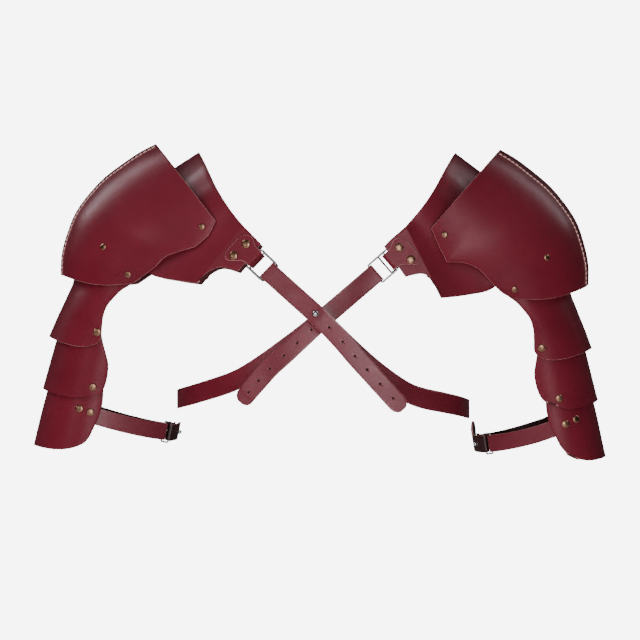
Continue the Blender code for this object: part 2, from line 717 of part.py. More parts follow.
def make_rivet(name, start, way, head, pieces, parent):
    """A domed rivet through the pieces, outermost first, and the holes it sits in."""
    outer, inner = surface_tree(pieces[0]), surface_tree(pieces[-1])
    outside, normal = through(outer, start, way, LONG_SEARCH)[0]
    if normal.dot(way) > 0:
        normal = -normal
    layers = 2 if pieces[0] == pieces[-1] else 1
    inside = through(inner, outside + normal * MM, -normal, SHORT_SEARCH)[2 * layers - 1][0]
    radius, shank, tail_radius = head / 2, RIVET_SHANK / 2, head * 0.34
    seat = highest(outer, outside, normal, radius) + GAP
    grip = (outside - inside).dot(normal) + highest(inner, inside, -normal, tail_radius) + GAP
    profile = [
        (0.0, seat + head * 0.26),
        (radius * 0.66, seat + head * 0.19),
        (radius, seat),
        (shank, seat),
        (shank, -grip),
        (tail_radius, -grip),
        (0.0, -grip - 1.0 * MM),
    ]
    add_turned(name, profile, BRASS, parent, outside, normal, 6)
    middle = outside - normal * grip / 2
    cutter = add_cutter(name + "_hole", middle, normal, grip + 6.0 * MM, RIVET_HOLE, parent)
    return cutter


def about(pivot, turn):
    return Matrix.Translation(pivot) @ turn @ Matrix.Translation(-pivot)


def make_side(side):
    parent = bpy.data.objects.new(side + "_side", None)
    PARTS.objects.link(parent)
    reach = Vector((0.0, 0.0, 0.0))
    if side == "left":
        slip = Matrix.Rotation(LEFT_YAW, 4, "Z") @ Matrix.Rotation(LEFT_PITCH, 4, "X")
        roll = Matrix.Rotation(LEFT_ROLL, 4, "Y")
        parent.matrix_world = about(ROLL_PIVOT, roll) @ about(SLIP_PIVOT, slip)
        reach = LEFT_REACH
    else:
        parent.scale = (-1.0, 1.0, 1.0)
    bpy.context.view_layer.update()

    cap_front, cap_back = make_cap(side, parent)
    yoke = make_yoke(side, parent, reach)
    upper = make_lame(side, "lame_upper", 0, UPPER_LAME, UPPER_HEM, parent)
    middle = make_lame(side, "lame_middle", 1, MIDDLE_LAME, MIDDLE_HEM, parent)
    lower = make_lame(side, "lame_lower", 2, LOWER_LAME, LOWER_HEM, parent)
    tabs = {face: make_tab(side, face, parent, reach) for face in ("front", "back")}
    for face in ("front", "back"):
        make_ring(side, face, parent, reach)
    front_strap, back_strap = make_arm_straps(side, parent)

    cuts = []
    for face, cap, sign in (("front", cap_front, -1.0), ("back", cap_back, 1.0)):
        way = Vector((0.0, -sign, 0.0))
        start_y = Vector((0.0, sign * RIVET_SEARCH, 0.0))
        jobs = []
        seen = side if face == "front" else "right"
        for k, (x, z) in enumerate(CAP_LAME_RIVETS[seen]):
            place = Vector((x, 0.0, z)) * MM
            jobs.append(("cap_rivet_%d_%s" % (k + 1, face), place, CAP_RIVET, [cap, upper]))
        place = Vector((CAP_YOKE_RIVET[0], 0.0, CAP_YOKE_RIVET[1])) * MM
        jobs.append(("cap_rivet_3_" + face, place, CAP_RIVET, [cap, yoke]))
        seen = side if face == "front" else "back"
        s, w = UPPER_MIDDLE_RIVET[seen]
        place = arm_point(s * MM, w * MM, 0.0)
        jobs.append(("lame_rivet_1_" + face, place, LAME_RIVET, [upper, middle]))
        s, w = MIDDLE_LOWER_RIVET[seen]
        place = arm_point(s * MM, w * MM, 0.0)
        jobs.append(("lame_rivet_2_" + face, place, LAME_RIVET, [middle, lower]))
        if face == "front":
            for k, (s, w) in enumerate(LOWER_STRAP_RIVETS[side]):
                place = arm_point(s * MM, w * MM, 0.0)
                jobs.append(("arm_strap_rivet_%d" % (k + 1), place, LAME_RIVET, [lower, front_strap]))
            for k, (x, z) in enumerate(TAB_RIVETS):
                place = Vector((x, 0.0, z)) * MM + reach
                jobs.append(("tab_rivet_%d" % (k + 1), place, TAB_RIVET, [tabs[face], yoke, tabs[face]]))
        for name, place, head, pieces in jobs:
            cutter = make_rivet(side + "_" + name, place + start_y, way, head, pieces, parent)
            cuts.append((cutter, pieces))
    angle = ARM_STUD_ANGLE[side]
    out = loop_out(side, angle)
    start = loop_point(side, angle, ARM_LOOP_INWARD[side]) + out * ARM_STUD_SEARCH
    cutter = make_stud(side + "_arm_stud", back_strap, start, -out, ARM_STUD_SCALE, parent)
    cuts.append((cutter, [back_strap]))
    for cutter, pieces in cuts:
        for piece in dict.fromkeys(pieces):
            punch(piece, cutter)
    return parent.matrix_world.copy(), reach


def torso_out(point):
    """The body's outward direction at a point of a chest strap."""
    return Vector((point.x / TORSO_HALF_WIDTH ** 2, point.y / TORSO_HALF_DEPTH ** 2, 0.0)).normalized()


def add_stations(stations, points, sign):
    """Turn centre points into stations whose width lies on the body."""
    for i, (point, share) in enumerate(points):
        before = points[max(i - 1, 0)][0]
        after = points[min(i + 1, len(points) - 1)][0]
        along = (after - before).normalized()
        across = torso_out(point).cross(along).normalized() * sign
        stations.append((point, across, share))


def curve_through(points, steps):
    """More points between the points, on a curve through them."""
    rows = smooth_rows([tuple(point) for point in points], steps)
    return [Vector(row) for row in rows]


def make_chest_strap(name, side_matrix, reach, stud, tail, round_body, back_depth):
    place = side_matrix @ (RING_CENTRE + reach + RING_ALONG * RING_LENGTH / 2)
    turn = side_matrix.to_3x3()
    along = (turn @ RING_ALONG).normalized()
    out = (turn @ RING_OUT).normalized()
    if out.y > 0:
        out = -out
    across = out.cross(-along).normalized()

    over_stud = stud - Vector((0.0, STRAP_LAYER, 0.0))
    bar_over = place + out * FOLD_RADIUS
    bar_under = place - out * FOLD_RADIUS

    # Tail tip to stud, then to the ring.
    tail_points = [over_stud] + [Vector((x, -depth, z)) * MM for x, z, depth in tail]
    tail_points.reverse()
    tail_points.insert(1, tail_points[0].lerp(tail_points[1], 0.4))
    shares = [0.34, 0.86] + [1.0] * (len(tail_points) - 2)
    over = list(zip(tail_points, shares))
    over += [(over_stud.lerp(bar_over, k / 3), 1.0) for k in range(1, 4)]
    stations = []
    add_stations(stations, over, 1.0)
    stations[-1] = (bar_over, across, 1.0)
    for k in range(1, 5):
        angle = math.pi * k / 5
        point = place + (out * math.cos(angle) - along * math.sin(angle)) * FOLD_RADIUS
        stations.append((point, across, 1.0))
    stations.append((bar_under, across, 1.0))

    # Ring to stud, round the body, and across the back to the back ring.
    front = [bar_under.lerp(stud, k / 3) for k in range(1, 3)]
    round_front = [stud] + [Vector((x, -depth, z)) * MM for x, z, depth, _ in round_body]
    crossing_back = Vector((stud.x, back_depth, stud.z))
    round_back = [Vector((x, depth, z)) * MM for x, z, _, depth in round_body]
    round_back.reverse()
    back_bar_under = mirror_y(bar_under)
    loop = curve_through(round_front + round_back[1:] + [crossing_back], 2)
    back = [crossing_back.lerp(back_bar_under, k / 3) for k in range(1, 4)]
    under = [(point, 1.0) for point in front + loop + back]
    under_stations = []
    add_stations(under_stations, under, -1.0)
    stations += under_stations[:-1]

    # Fold round the back ring, with a short sewn return.
    back_place = mirror_y(place)
    back_out = mirror_y(out)
    back_along = mirror_y(along)
    back_across = under_stations[-2][1]
    side_way = mirror_y(across)
    if side_way.dot(back_across) < 0:
        side_way = -side_way
    for k in range(6):
        angle = math.pi * k / 5
        point = back_place - (back_out * math.cos(angle) + back_along * math.sin(angle)) * FOLD_RADIUS
        stations.append((point, side_way, 1.0))
    over_back = crossing_back + Vector((0.0, STRAP_LAYER, 0.0))
    start = back_place + back_out * FOLD_RADIUS
    way = (over_back - start).normalized()
    for k in (1, 2):
        stations.append((start + way * BACK_RETURN * k / 2, side_way, 1.0))
    rows = ribbon_rows(stations, STRAP_WIDTH)
    return add_sheet(name, rows, BURGUNDY, None, offset=0.0)


def make_stud(name, strap, start, way, scale, parent):
    """A ball stud through both layers of a strap, and the hole it sits in."""
    tree = surface_tree(strap)
    hits = through(tree, start, way, 2 * STUD_SEARCH)
    outside, normal = hits[0]
    if normal.dot(way) > 0:
        normal = -normal
    inside = hits[3][0]
    ball, shank, foot = 3.5 * MM * scale, RIVET_SHANK / 2, 3.8 * MM * scale
    seat = highest(tree, outside, normal, ball) + GAP
    grip = (outside - inside).dot(normal) + highest(tree, inside, -normal, foot) + GAP
    profile = [
        (0.0, seat + ball * 1.77),
        (ball * 0.63, seat + ball * 1.6),
        (ball, seat + ball * 1.09),
        (ball * 0.86, seat + ball * 0.54),
        (ball * 0.5, seat + ball * 0.2),
        (ball * 0.83, seat),
        (shank, seat),
        (shank, -grip),
        (foot, -grip),
        (0.0, -grip - 1.0 * MM),
    ]
    add_turned(name, profile, CHROME, parent, outside, normal, 8)
    middle = outside - normal * grip / 2
    return add_cutter(name + "_hole", middle, normal, grip + 3.0 * MM, RIVET_HOLE, parent)


def make_tail_holes(name, strap, tail):
    """Punched holes along the free tail, through its own layer only."""
    tree = surface_tree(strap)
    tail_points = curve_through([Vector((x, 0.0, z)) * MM for x, z, _ in tail], 8)
    cutters = []
    spacing = len(tail_points) - 1
    for k in range(TAIL_HOLES):
        point = tail_points[round(spacing * (k + 0.02) / (TAIL_HOLES + 0.02))]
        start = Vector((point.x, -LONG_SEARCH, point.z))
        (outside, normal), (inside, _) = through(tree, start, Vector((0.0, 1.0, 0.0)), LONG_SEARCH)[:2]
        if normal.y > 0:
            normal = -normal
        middle = (outside + inside) / 2 + normal * 1.0 * MM
        cutters.append(add_cutter("%s_hole_%d" % (name, k + 1), middle, normal,
                                  2.0 * MM + LEATHER + 0.3 * MM, HOLE_DIAMETER, None))
    return cutters


def make_chest_straps(right, left):
    jobs = [
        ("right", right, STUD_TOP_STRAP, TOP_TAIL, TOP_STRAP_ROUND, BACK_DEPTH_TOP, TOP_STUD_SCALE),
        ("left", left, STUD_UNDER_STRAP, UNDER_TAIL, UNDER_STRAP_ROUND, BACK_DEPTH_UNDER, UNDER_STUD_SCALE),
    ]
    for side, (matrix, reach), stud, tail, round_body, back_depth, scale in jobs:
        strap = make_chest_strap(side + "_chest_strap", matrix, reach, stud, tail, round_body, back_depth)
        cutters = make_tail_holes(side + "_tail", strap, tail)
        start = stud - Vector((0.0, STUD_SEARCH, 0.0))
        cutters.append(make_stud(side + "_stud", strap, start, Vector((0.0, 1.0, 0.0)), scale, None))
        for cutter in cutters:
            punch(strap, cutter)


right_side = make_side("right")
left_side = make_side("left")
make_chest_straps(right_side, left_side)
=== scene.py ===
import math

import bmesh
import bpy
from mathutils import Matrix, Vector
from mathutils.bvhtree import BVHTree


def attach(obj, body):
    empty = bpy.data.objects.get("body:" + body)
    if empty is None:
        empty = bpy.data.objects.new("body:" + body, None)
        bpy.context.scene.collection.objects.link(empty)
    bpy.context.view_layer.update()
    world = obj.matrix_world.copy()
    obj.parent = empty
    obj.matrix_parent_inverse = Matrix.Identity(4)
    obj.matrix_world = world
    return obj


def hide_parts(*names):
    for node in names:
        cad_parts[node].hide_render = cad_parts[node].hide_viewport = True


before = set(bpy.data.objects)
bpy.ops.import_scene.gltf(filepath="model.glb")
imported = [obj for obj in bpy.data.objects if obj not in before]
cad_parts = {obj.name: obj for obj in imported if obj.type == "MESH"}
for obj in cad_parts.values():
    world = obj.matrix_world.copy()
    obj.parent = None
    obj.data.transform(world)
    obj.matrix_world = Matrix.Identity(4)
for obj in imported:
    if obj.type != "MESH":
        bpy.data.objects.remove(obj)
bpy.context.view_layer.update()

# Studio: a plain pale floor well under the harness and a white surround. Four lights show only as shine:
# strips beside the caps' ridges and boxes in front. Three plain ones carry the colour of the leather.
MM = 0.001
CAMERA_AWAY = 5.0
CAMERA_HEIGHT = -0.1470
CAMERA_ACROSS = -0.0052
CAMERA_LENS = 267.9
CAMERA_SENSOR = 36.0
FLOOR_HEIGHT = -0.62
FLOOR_SIZE = 3.0
FLOOR_PAINT = 0.86
FLOOR_ROUGHNESS = 0.7
ROOM_LIGHT = 0.04
SEEN_WHITE = 7.0
WHITE = (1.0, 1.0, 1.0, 1.0)
COOL = (0.96, 0.97, 1.0)
NEUTRAL = (1.0, 0.99, 0.99)
SOFTBOXES = [
    # name, place, aim, width, height, watts, colour, whether it is for the shine
    ("left_strip", (-1.75, 0.6, 1.4), (-0.2, 0.0, -0.05), 0.6, 1.4, 32.0, COOL, True),
    ("right_strip", (1.75, 0.6, 1.4), (0.2, 0.0, -0.05), 0.6, 1.4, 16.0, COOL, True),
    ("front_softbox_1", (-2.0, -3.4, 0.7), (0.0, 0.0, -0.15), 1.4, 1.0, 16.0, COOL, True),
    ("front_softbox_2", (0.75, -3.85, 0.4), (0.0, 0.0, -0.15), 1.2, 2.1, 66.0, COOL, True),
    ("key_softbox", (-2.2, -2.2, 2.0), (-0.05, 0.0, -0.1), 3.0, 3.0, 76.0, NEUTRAL, False),
    ("fill_softbox", (2.2, -2.4, 1.8), (0.05, 0.0, -0.1), 3.0, 3.0, 20.0, NEUTRAL, False),
    ("low_softbox", (0.0, -1.5, -0.5), (0.0, 0.0, -0.2), 2.4, 0.3, 16.0, NEUTRAL, False),
]


def put_in_scene(name, data):
    item = bpy.data.objects.new(name, data)
    bpy.context.scene.collection.objects.link(item)
    return item


def grey(value):
    return (value, value, value, 1.0)


def add_softbox(name, place, aim, width, height, power, colour, for_shine):
    """A soft light. One for the shine shows only in the surfaces' gloss, the others only light them."""
    light = bpy.data.lights.new(name, "AREA")
    light.shape = "RECTANGLE"
    light.size = width
    light.size_y = height
    light.energy = power
    light.color = colour
    item = put_in_scene(name, light)
    item.location = place
    item.rotation_mode = "QUATERNION"
    item.rotation_quaternion = (Vector(aim) - Vector(place)).to_track_quat("-Z", "Y")
    item.visible_glossy = for_shine
    item.visible_diffuse = not for_shine


camera_data = bpy.data.cameras.new("studio_camera")
camera_data.lens = CAMERA_LENS
camera_data.sensor_width = CAMERA_SENSOR
camera = put_in_scene("studio_camera", camera_data)
camera.location = (CAMERA_ACROSS, -CAMERA_AWAY, CAMERA_HEIGHT)
camera.rotation_euler = (math.radians(90.0), 0.0, 0.0)
bpy.context.scene.camera = camera

for softbox in SOFTBOXES:
    add_softbox(*softbox)

world = bpy.data.worlds.new("white_surround")
bpy.context.scene.world = world
world.use_nodes = True
world_nodes = world.node_tree.nodes
world_links = world.node_tree.links
room_light = world_nodes["Background"]
room_light.inputs["Color"].default_value = WHITE
room_light.inputs["Strength"].default_value = ROOM_LIGHT
seen_white = world_nodes.new("ShaderNodeBackground")
seen_white.inputs["Color"].default_value = WHITE
seen_white.inputs["Strength"].default_value = SEEN_WHITE
ray_kind = world_nodes.new("ShaderNodeLightPath")
surround = world_nodes.new("ShaderNodeMixShader")
world_links.new(ray_kind.outputs["Is Camera Ray"], surround.inputs["Fac"])
world_links.new(room_light.outputs["Background"], surround.inputs[1])
world_links.new(seen_white.outputs["Background"], surround.inputs[2])
world_links.new(surround.outputs["Shader"], world_nodes["World Output"].inputs["Surface"])

floor_mesh = bpy.data.meshes.new("studio_floor")
half = FLOOR_SIZE / 2
floor_mesh.from_pydata([(-half, -half, 0.0), (half, -half, 0.0), (half, half, 0.0), (-half, half, 0.0)],
                       [], [(0, 1, 2, 3)])
floor_paint = bpy.data.materials.new("pale_floor")
floor_paint.use_nodes = True
floor_shader = floor_paint.node_tree.nodes["Principled BSDF"]
floor_shader.inputs["Base Color"].default_value = grey(FLOOR_PAINT)
floor_shader.inputs["Roughness"].default_value = FLOOR_ROUGHNESS
floor_mesh.materials.append(floor_paint)
floor = put_in_scene("studio_floor", floor_mesh)
floor.location = (0.0, 0.0, FLOOR_HEIGHT)

# The two sides: both guards are cut from one pattern. The right one is its mirror image. The left
# one hangs lower at its outer end and has slipped a little forward and inward on the shoulder.
LEATHER = 2.0 * MM
GAP = 0.3 * MM
LEFT_ROLL = math.radians(3.1)
LEFT_PITCH = math.radians(3.4)
LEFT_YAW = math.radians(-3.3)
ROLL_PIVOT = Vector((68.2, 0.0, -81.9)) * MM
SLIP_PIVOT = Vector((200.0, 0.0, -40.0)) * MM


def about(pivot, turn):
    return Matrix.Translation(pivot) @ turn @ Matrix.Translation(-pivot)


left_roll = about(ROLL_PIVOT, Matrix.Rotation(LEFT_ROLL, 4, "Y"))
left_turn = Matrix.Rotation(LEFT_YAW, 4, "Z") @ Matrix.Rotation(LEFT_PITCH, 4, "X")
SIDES = {
    "right": Matrix.Scale(-1.0, 4, (1.0, 0.0, 0.0)),
    "left": left_roll @ about(SLIP_PIVOT, left_turn),
}
REACH = {"right": Vector((0.0, 0.0, 0.0)), "left": Vector((0.0, 0.0, 3.0)) * MM}


def mirror_y(point):
    return Vector((point.x, -point.y, point.z))


def way_at(points, i):
    """The way that a line of points runs at one of them."""
    return (points[min(i + 1, len(points) - 1)] - points[max(i - 1, 0)]).normalized()


def smooth_rows(table, steps, corners=()):
    """More rows between a table's rows, on a curve through them that breaks at the corners."""
    rows = []
    last = len(table) - 1
    for i in range(last):
        before = table[i if i in corners else max(i - 1, 0)]
        first, second = table[i], table[i + 1]
        after = table[i + 1 if i + 1 in corners else min(i + 2, last)]
        for k in range(steps):
            t = k / steps
            rows.append([
                0.5 * (2 * q + (r - p) * t + (2 * p - 5 * q + 4 * r - s) * t * t
                       + (3 * q - p - 3 * r + s) * t ** 3)
                for p, q, r, s in zip(before, first, second, after)
            ])
    rows.append(list(table[last]))
    return rows


# Leather: smooth burgundy cowhide, 2 mm thick, semi-gloss on the guards, glossier on the straps. The back arm
# straps are painted nearly black as painted shade. The flesh side is dull and fibrous, and the cut edges are
# left raw, with a painted highlight on top, so they show as a thin pale line.
GRAIN_DARK = (0.145, 0.0105, 0.0220, 1.0)
GRAIN_LIGHT = (0.170, 0.0130, 0.0265, 1.0)
# Painted shade: the back arm straps' colours, near-black for the shadow they lie in.
PAINTED_SHADE_DARK = (0.022, 0.0018, 0.0032, 1.0)
PAINTED_SHADE_LIGHT = (0.034, 0.0028, 0.0048, 1.0)
FLESH_DARK = (0.060, 0.008, 0.012, 1.0)
FLESH_LIGHT = (0.105, 0.018, 0.024, 1.0)
# Raw edge colours: raw leather made paler by a painted highlight, for edges catching the light.
RAW_HIGHLIGHT_DARK = (0.42, 0.15, 0.15, 1.0)
RAW_HIGHLIGHT_LIGHT = (0.70, 0.33, 0.32, 1.0)
FLESH_ROUGHNESS = 0.85
RAW_ROUGHNESS = 0.75
PORES_A_METRE = 900.0
GUARD_SHINE = 0.17
STRAP_SHINE = 0.5
SHEEN = 0.03
SHEEN_ROUGHNESS = 0.4
EDGE_ROUND = 0.32 * MM
SHARP_EDGE = math.radians(40.0)


def new_finish(name):
    material = bpy.data.materials.new(name)
    material.use_nodes = True
    nodes = material.node_tree.nodes
    return material, nodes, material.node_tree.links, nodes["Principled BSDF"]


def add_noise(nodes, links, place, scale, detail):
    noise = nodes.new("ShaderNodeTexNoise")
    noise.inputs["Scale"].default_value = scale
    noise.inputs["Detail"].default_value = detail
    links.new(place.outputs["Object"], noise.inputs["Vector"])
    return noise


def add_ramp(nodes, links, source, low, high):
    ramp = nodes.new("ShaderNodeValToRGB")
    for end, (place, colour) in zip(ramp.color_ramp.elements, (low, high)):
        end.position = place
        end.color = colour
    links.new(source, ramp.inputs["Fac"])
    return ramp


def add_bump(nodes, links, height, strength, distance, before=None):
    bump = nodes.new("ShaderNodeBump")
    bump.inputs["Strength"].default_value = strength
    bump.inputs["Distance"].default_value = distance
    links.new(height, bump.inputs["Height"])
    if before:
        links.new(before.outputs["Normal"], bump.inputs["Normal"])
    return bump


def make_grain_leather(name, dark, light, shine, dullest, glossiest):
    material, nodes, links, shader = new_finish(name)
    place = nodes.new("ShaderNodeTexCoord")
    dye = add_noise(nodes, links, place, scale=22.0, detail=5.0)
    colour = add_ramp(nodes, links, dye.outputs["Fac"], low=(0.34, dark), high=(0.68, light))
    links.new(colour.outputs["Color"], shader.inputs["Base Color"])
    polish = add_noise(nodes, links, place, scale=75.0, detail=3.0)
    rough = add_ramp(nodes, links, polish.outputs["Fac"], low=(0.3, grey(glossiest)),
                     high=(0.7, grey(dullest)))
    links.new(rough.outputs["Color"], shader.inputs["Roughness"])
    pores = nodes.new("ShaderNodeTexVoronoi")
    pores.inputs["Scale"].default_value = PORES_A_METRE
    links.new(place.outputs["Object"], pores.inputs["Vector"])
    creases = add_noise(nodes, links, place, scale=260.0, detail=4.0)
    pore_bump = add_bump(nodes, links, pores.outputs["Distance"], strength=0.10, distance=0.3 * MM)
    crease_bump = add_bump(nodes, links, creases.outputs["Fac"], strength=0.10, distance=0.6 * MM,
                           before=pore_bump)
    links.new(crease_bump.outputs["Normal"], shader.inputs["Normal"])
    shader.inputs["Specular IOR Level"].default_value = shine
    shader.inputs["Sheen Weight"].default_value = SHEEN
    shader.inputs["Sheen Roughness"].default_value = SHEEN_ROUGHNESS
    return material


def make_raw_edge_highlight():
    material, nodes, links, shader = new_finish("raw_edge_painted_highlight")
    place = nodes.new("ShaderNodeTexCoord")
    fibre = add_noise(nodes, links, place, scale=420.0, detail=4.0)
    colour = add_ramp(nodes, links, fibre.outputs["Fac"], low=(0.3, RAW_HIGHLIGHT_DARK), high=(0.7, RAW_HIGHLIGHT_LIGHT))
    links.new(colour.outputs["Color"], shader.inputs["Base Color"])
    bump = add_bump(nodes, links, fibre.outputs["Fac"], strength=0.3, distance=0.3 * MM)
    links.new(bump.outputs["Normal"], shader.inputs["Normal"])
    shader.inputs["Roughness"].default_value = RAW_ROUGHNESS
    return material


def make_flesh_side():
    material, nodes, links, shader = new_finish("leather_flesh_side")
    place = nodes.new("ShaderNodeTexCoord")
    nap = add_noise(nodes, links, place, scale=140.0, detail=6.0)
    colour = add_ramp(nodes, links, nap.outputs["Fac"], low=(0.3, FLESH_DARK), high=(0.72, FLESH_LIGHT))
    links.new(colour.outputs["Color"], shader.inputs["Base Color"])
    fibre = add_noise(nodes, links, place, scale=700.0, detail=3.0)
    bump = add_bump(nodes, links, fibre.outputs["Fac"], strength=0.35, distance=0.4 * MM)
    links.new(bump.outputs["Normal"], shader.inputs["Normal"])
    shader.inputs["Roughness"].default_value = FLESH_ROUGHNESS
    return material


GRAIN = make_grain_leather("burgundy_guard_leather", GRAIN_DARK, GRAIN_LIGHT, GUARD_SHINE,
                           dullest=0.38, glossiest=0.32)
STRAP_GRAIN = make_grain_leather("burgundy_strap_leather", GRAIN_DARK, GRAIN_LIGHT, STRAP_SHINE,
                                 dullest=0.38, glossiest=0.31)
# The back arm straps' leather carries painted shade: it is near-black.
PAINTED_SHADE_STRAP_GRAIN = make_grain_leather("strap_leather_painted_shade", PAINTED_SHADE_DARK, PAINTED_SHADE_LIGHT, STRAP_SHINE,
                                      dullest=0.38, glossiest=0.31)
RAW_EDGE_HIGHLIGHT = make_raw_edge_highlight()
FLESH = make_flesh_side()


def stand_in(piece, node):
    """The finished piece takes its solid's place."""
    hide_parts(node)
    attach(piece, "root")
    return piece


def cut_leather(node, rows, around=None, face=GRAIN, lining=FLESH, side=None, punches=()):
    """One piece of leather from rows of points on its face. Its thickness goes in, away from the face,
    or both ways where it's a strap. Its rim is raw edge with a painted highlight, softly rounded."""
    if side:
        rows = [[SIDES[side] @ point for point in row] for row in rows]
    across = len(rows[0])
    mesh = bpy.data.meshes.new(node + "_leather")
    faces = []
    for i in range(len(rows) - 1):
        for j in range(across - 1):
            a = i * across + j
            faces.append((a, a + 1, a + across + 1, a + across))
    mesh.from_pydata([tuple(point) for row in rows for point in row], [], faces)
    if around is not None:
        middle = SIDES[side] @ around if side else around
        lean = sum((patch.center - middle).dot(patch.normal) * patch.area for patch in mesh.polygons)
        if lean < 0:
            mesh.flip_normals()
    for finish in (face, RAW_EDGE_HIGHLIGHT, lining):
        mesh.materials.append(finish)
    if punches:
        mesh.materials.append(PAINTED_SHADE_HOLE_WALL)
    mesh.shade_smooth()
    piece = put_in_scene(node + "_leather", mesh)
    thick = piece.modifiers.new("thickness", "SOLIDIFY")
    thick.thickness = LEATHER
    thick.offset = 0.0 if around is None else -1.0
    thick.use_quality_normals = True
    thick.material_offset = 2
    thick.material_offset_rim = 1
    for punch in punches:
        cut = piece.modifiers.new("punched_hole", "BOOLEAN")
        cut.object = punch
    edge = piece.modifiers.new("rounded_edge", "BEVEL")
    edge.width = EDGE_ROUND
    edge.segments = 2
    edge.limit_method = "ANGLE"
    edge.angle_limit = SHARP_EDGE
    edge.material = 1
    return stand_in(piece, node)


# Ring's place: the chest strap's ring lies flat on the chest, slanted down towards the breastbone, and
# the yoke's end, the tab and the strap's first stretch all lie in its plane.
RING_CENTRE = Vector((65.5, -103.7, -90.3)) * MM
RING_ALONG = Vector((-0.723, -0.26, -0.69)).normalized()
RING_ACROSS = Vector((-0.69, 0.0, 0.723)).normalized()
RING_OUT = RING_ACROSS.cross(RING_ALONG).normalized()
STRAP_WIDTH = 19.8 * MM
RING_WIRE = 2.2 * MM
RING_LENGTH = 21.0 * MM
RING_WIDTH = STRAP_WIDTH + 3.0 * MM
RING_CORNER = 1.6 * MM
FOLD_RADIUS = RING_WIRE / 2 + GAP + LEATHER / 2


def fold_round(bar, start, over, radius, steps):
    """Points half way round a bar: from its start side, over one side of it, to the far side."""
    points = []
    for k in range(steps + 1):
        angle = math.pi * k / steps
        points.append(bar + (start * math.cos(angle) + over * math.sin(angle)) * radius)
    return points


# Yoke: one leather base plate a side, laid over the shoulder from chest to back, with a hollowed neck
# edge and a notched lower edge. Everything else on that side is riveted to it.
YOKE_TABLE = [
    # neck x, neck z, neck depth, outer x, outer z, outer depth
    (132.3, 29.4, 0.0, 194.2, -10.5, 0.0),
    (126.1, 16.6, 38.0, 195.9, -38.6, 38.0),
    (117.2, -2.9, 62.0, 195.0, -64.0, 62.0),
    (110.7, -14.6, 74.0, 190.4, -82.9, 71.0),
    (103.3, -26.2, 82.0, 180.8, -99.5, 74.0),
    (93.9, -38.7, 87.0, 154.8, -105.7, 84.5),
    (84.5, -49.6, None, 131.9, -108.9, None),
    (78.3, -55.8, None, 122.2, -98.4, None),
    (72.1, -62.1, None, 108.1, -92.2, None),
    (66.2, -68.4, None, 90.3, -96.9, None),
]
LEFT_YOKE_SLIP = [
    # neck edge's move in x and z, outer edge's move in x and z: the left yoke lies wider open
    (-1.5, 3.0, 0.0, 0.0),
    (-2.0, 2.0, 0.0, 0.0),
    (-2.2, 1.5, 0.0, 0.0),
    (-2.0, 1.2, 0.0, -1.0),
    (-2.0, 1.0, -1.3, -4.8),
    (-1.8, 1.4, -1.8, -6.3),
    (2.5, 5.5, -4.5, -6.7),
    (-1.2, 2.6, -6.3, 1.0),
    (-0.8, 3.2, -1.9, 0.4),
    (-0.3, 3.0, -0.6, 1.2),
]
YOKE_CORNER = 6
YOKE_MIDDLE = Vector((120.0, 0.0, -110.0)) * MM
YOKE_ROW_STEPS = 8
YOKE_COLUMNS = 18


def on_ring_plane(point, reach):
    away = (point - RING_CENTRE - reach).dot(RING_OUT) - LEATHER / 2
    return point - Vector((0.0, away / RING_OUT.y, 0.0))


def yoke_ends(side, index):
    slip = LEFT_YOKE_SLIP[index] if side == "left" else (0.0, 0.0, 0.0, 0.0)
    row = YOKE_TABLE[index]
    ends = []
    for (x, z, depth), (slip_x, slip_z) in zip((row[:3], row[3:]), (slip[:2], slip[2:])):
        if depth is None:
            point = on_ring_plane(Vector((x + slip_x, 0.0, z + slip_z)) * MM, REACH[side])
        else:
            point = Vector((x + slip_x, -depth, z + slip_z)) * MM
        ends += list(point)
    return ends


def make_yoke(side):
    table = [yoke_ends(side, i) for i in range(len(YOKE_TABLE))]
    # The row over the shoulder's top is a smooth crest, so the curve runs on past it.
    crest = [table[1][k] * (-1 if k in (1, 4) else 1) for k in range(6)]
    half_rows = smooth_rows([crest] + table, YOKE_ROW_STEPS, corners=(YOKE_CORNER + 1,))[YOKE_ROW_STEPS:]
    half = []
    for ends in half_rows:
        neck, outer = Vector(ends[:3]), Vector(ends[3:])
        half.append([neck.lerp(outer, k / YOKE_COLUMNS) for k in range(YOKE_COLUMNS + 1)])
    back = [[mirror_y(point) for point in row] for row in half]
    rows = list(reversed(half)) + back[1:]
    return cut_leather(side + "_yoke", rows, around=YOKE_MIDDLE, side=side)


yokes = {side: make_yoke(side) for side in SIDES}

# Cap: two panels sewn together along an arched seam over the shoulder's point. The front panel laps
# over the back one, so its raw edge and the stitches beside it show along the top.
CAP_TABLE = [
    # ridge x, ridge z, hem x, hem z, depth, sag
    (177.5, 38.2, 112.8, -45.0, 86.0, 0.0),
    (194.4, 29.6, 121.2, -60.3, 87.0, 0.0),
    (213.2, 17.0, 134.6, -71.7, 87.0, 0.0),
    (232.1, 2.4, 150.7, -76.4, 86.0, 0.0),
    (248.6, -15.2, 165.4, -82.4, 84.0, 0.0),
    (262.0, -34.0, 176.4, -92.9, 80.0, 0.5),
    (270.9, -55.8, 185.1, -99.4, 77.0, 1.5),
    (276.7, -77.7, 192.4, -104.6, 74.5, 3.5),
    (277.9, -99.3, 198.9, -109.1, 72.0, 6.0),
]
LEFT_CAP_SLIP = [
    # hem's move in x and in z, and how much deeper the row stands
    (0.0, 0.0, 0.0),
    (0.0, -1.5, 1.0),
    (-3.7, -7.2, 3.0),
    (-1.2, -2.6, 1.5),
    (-0.6, -2.9, 0.0),
    (0.3, -4.0, 0.0),
    (0.2, -5.8, 0.0),
    (-0.1, -5.6, 0.0),
    (0.7, -4.1, 0.0),
]
HEM_CORNER = 2
CAP_SEAM = math.radians(11.0)
CAP_LAP = math.radians(6.0)
CAP_ROW_STEPS = 7
FRONT_COLUMNS = 30
BACK_COLUMNS = 28
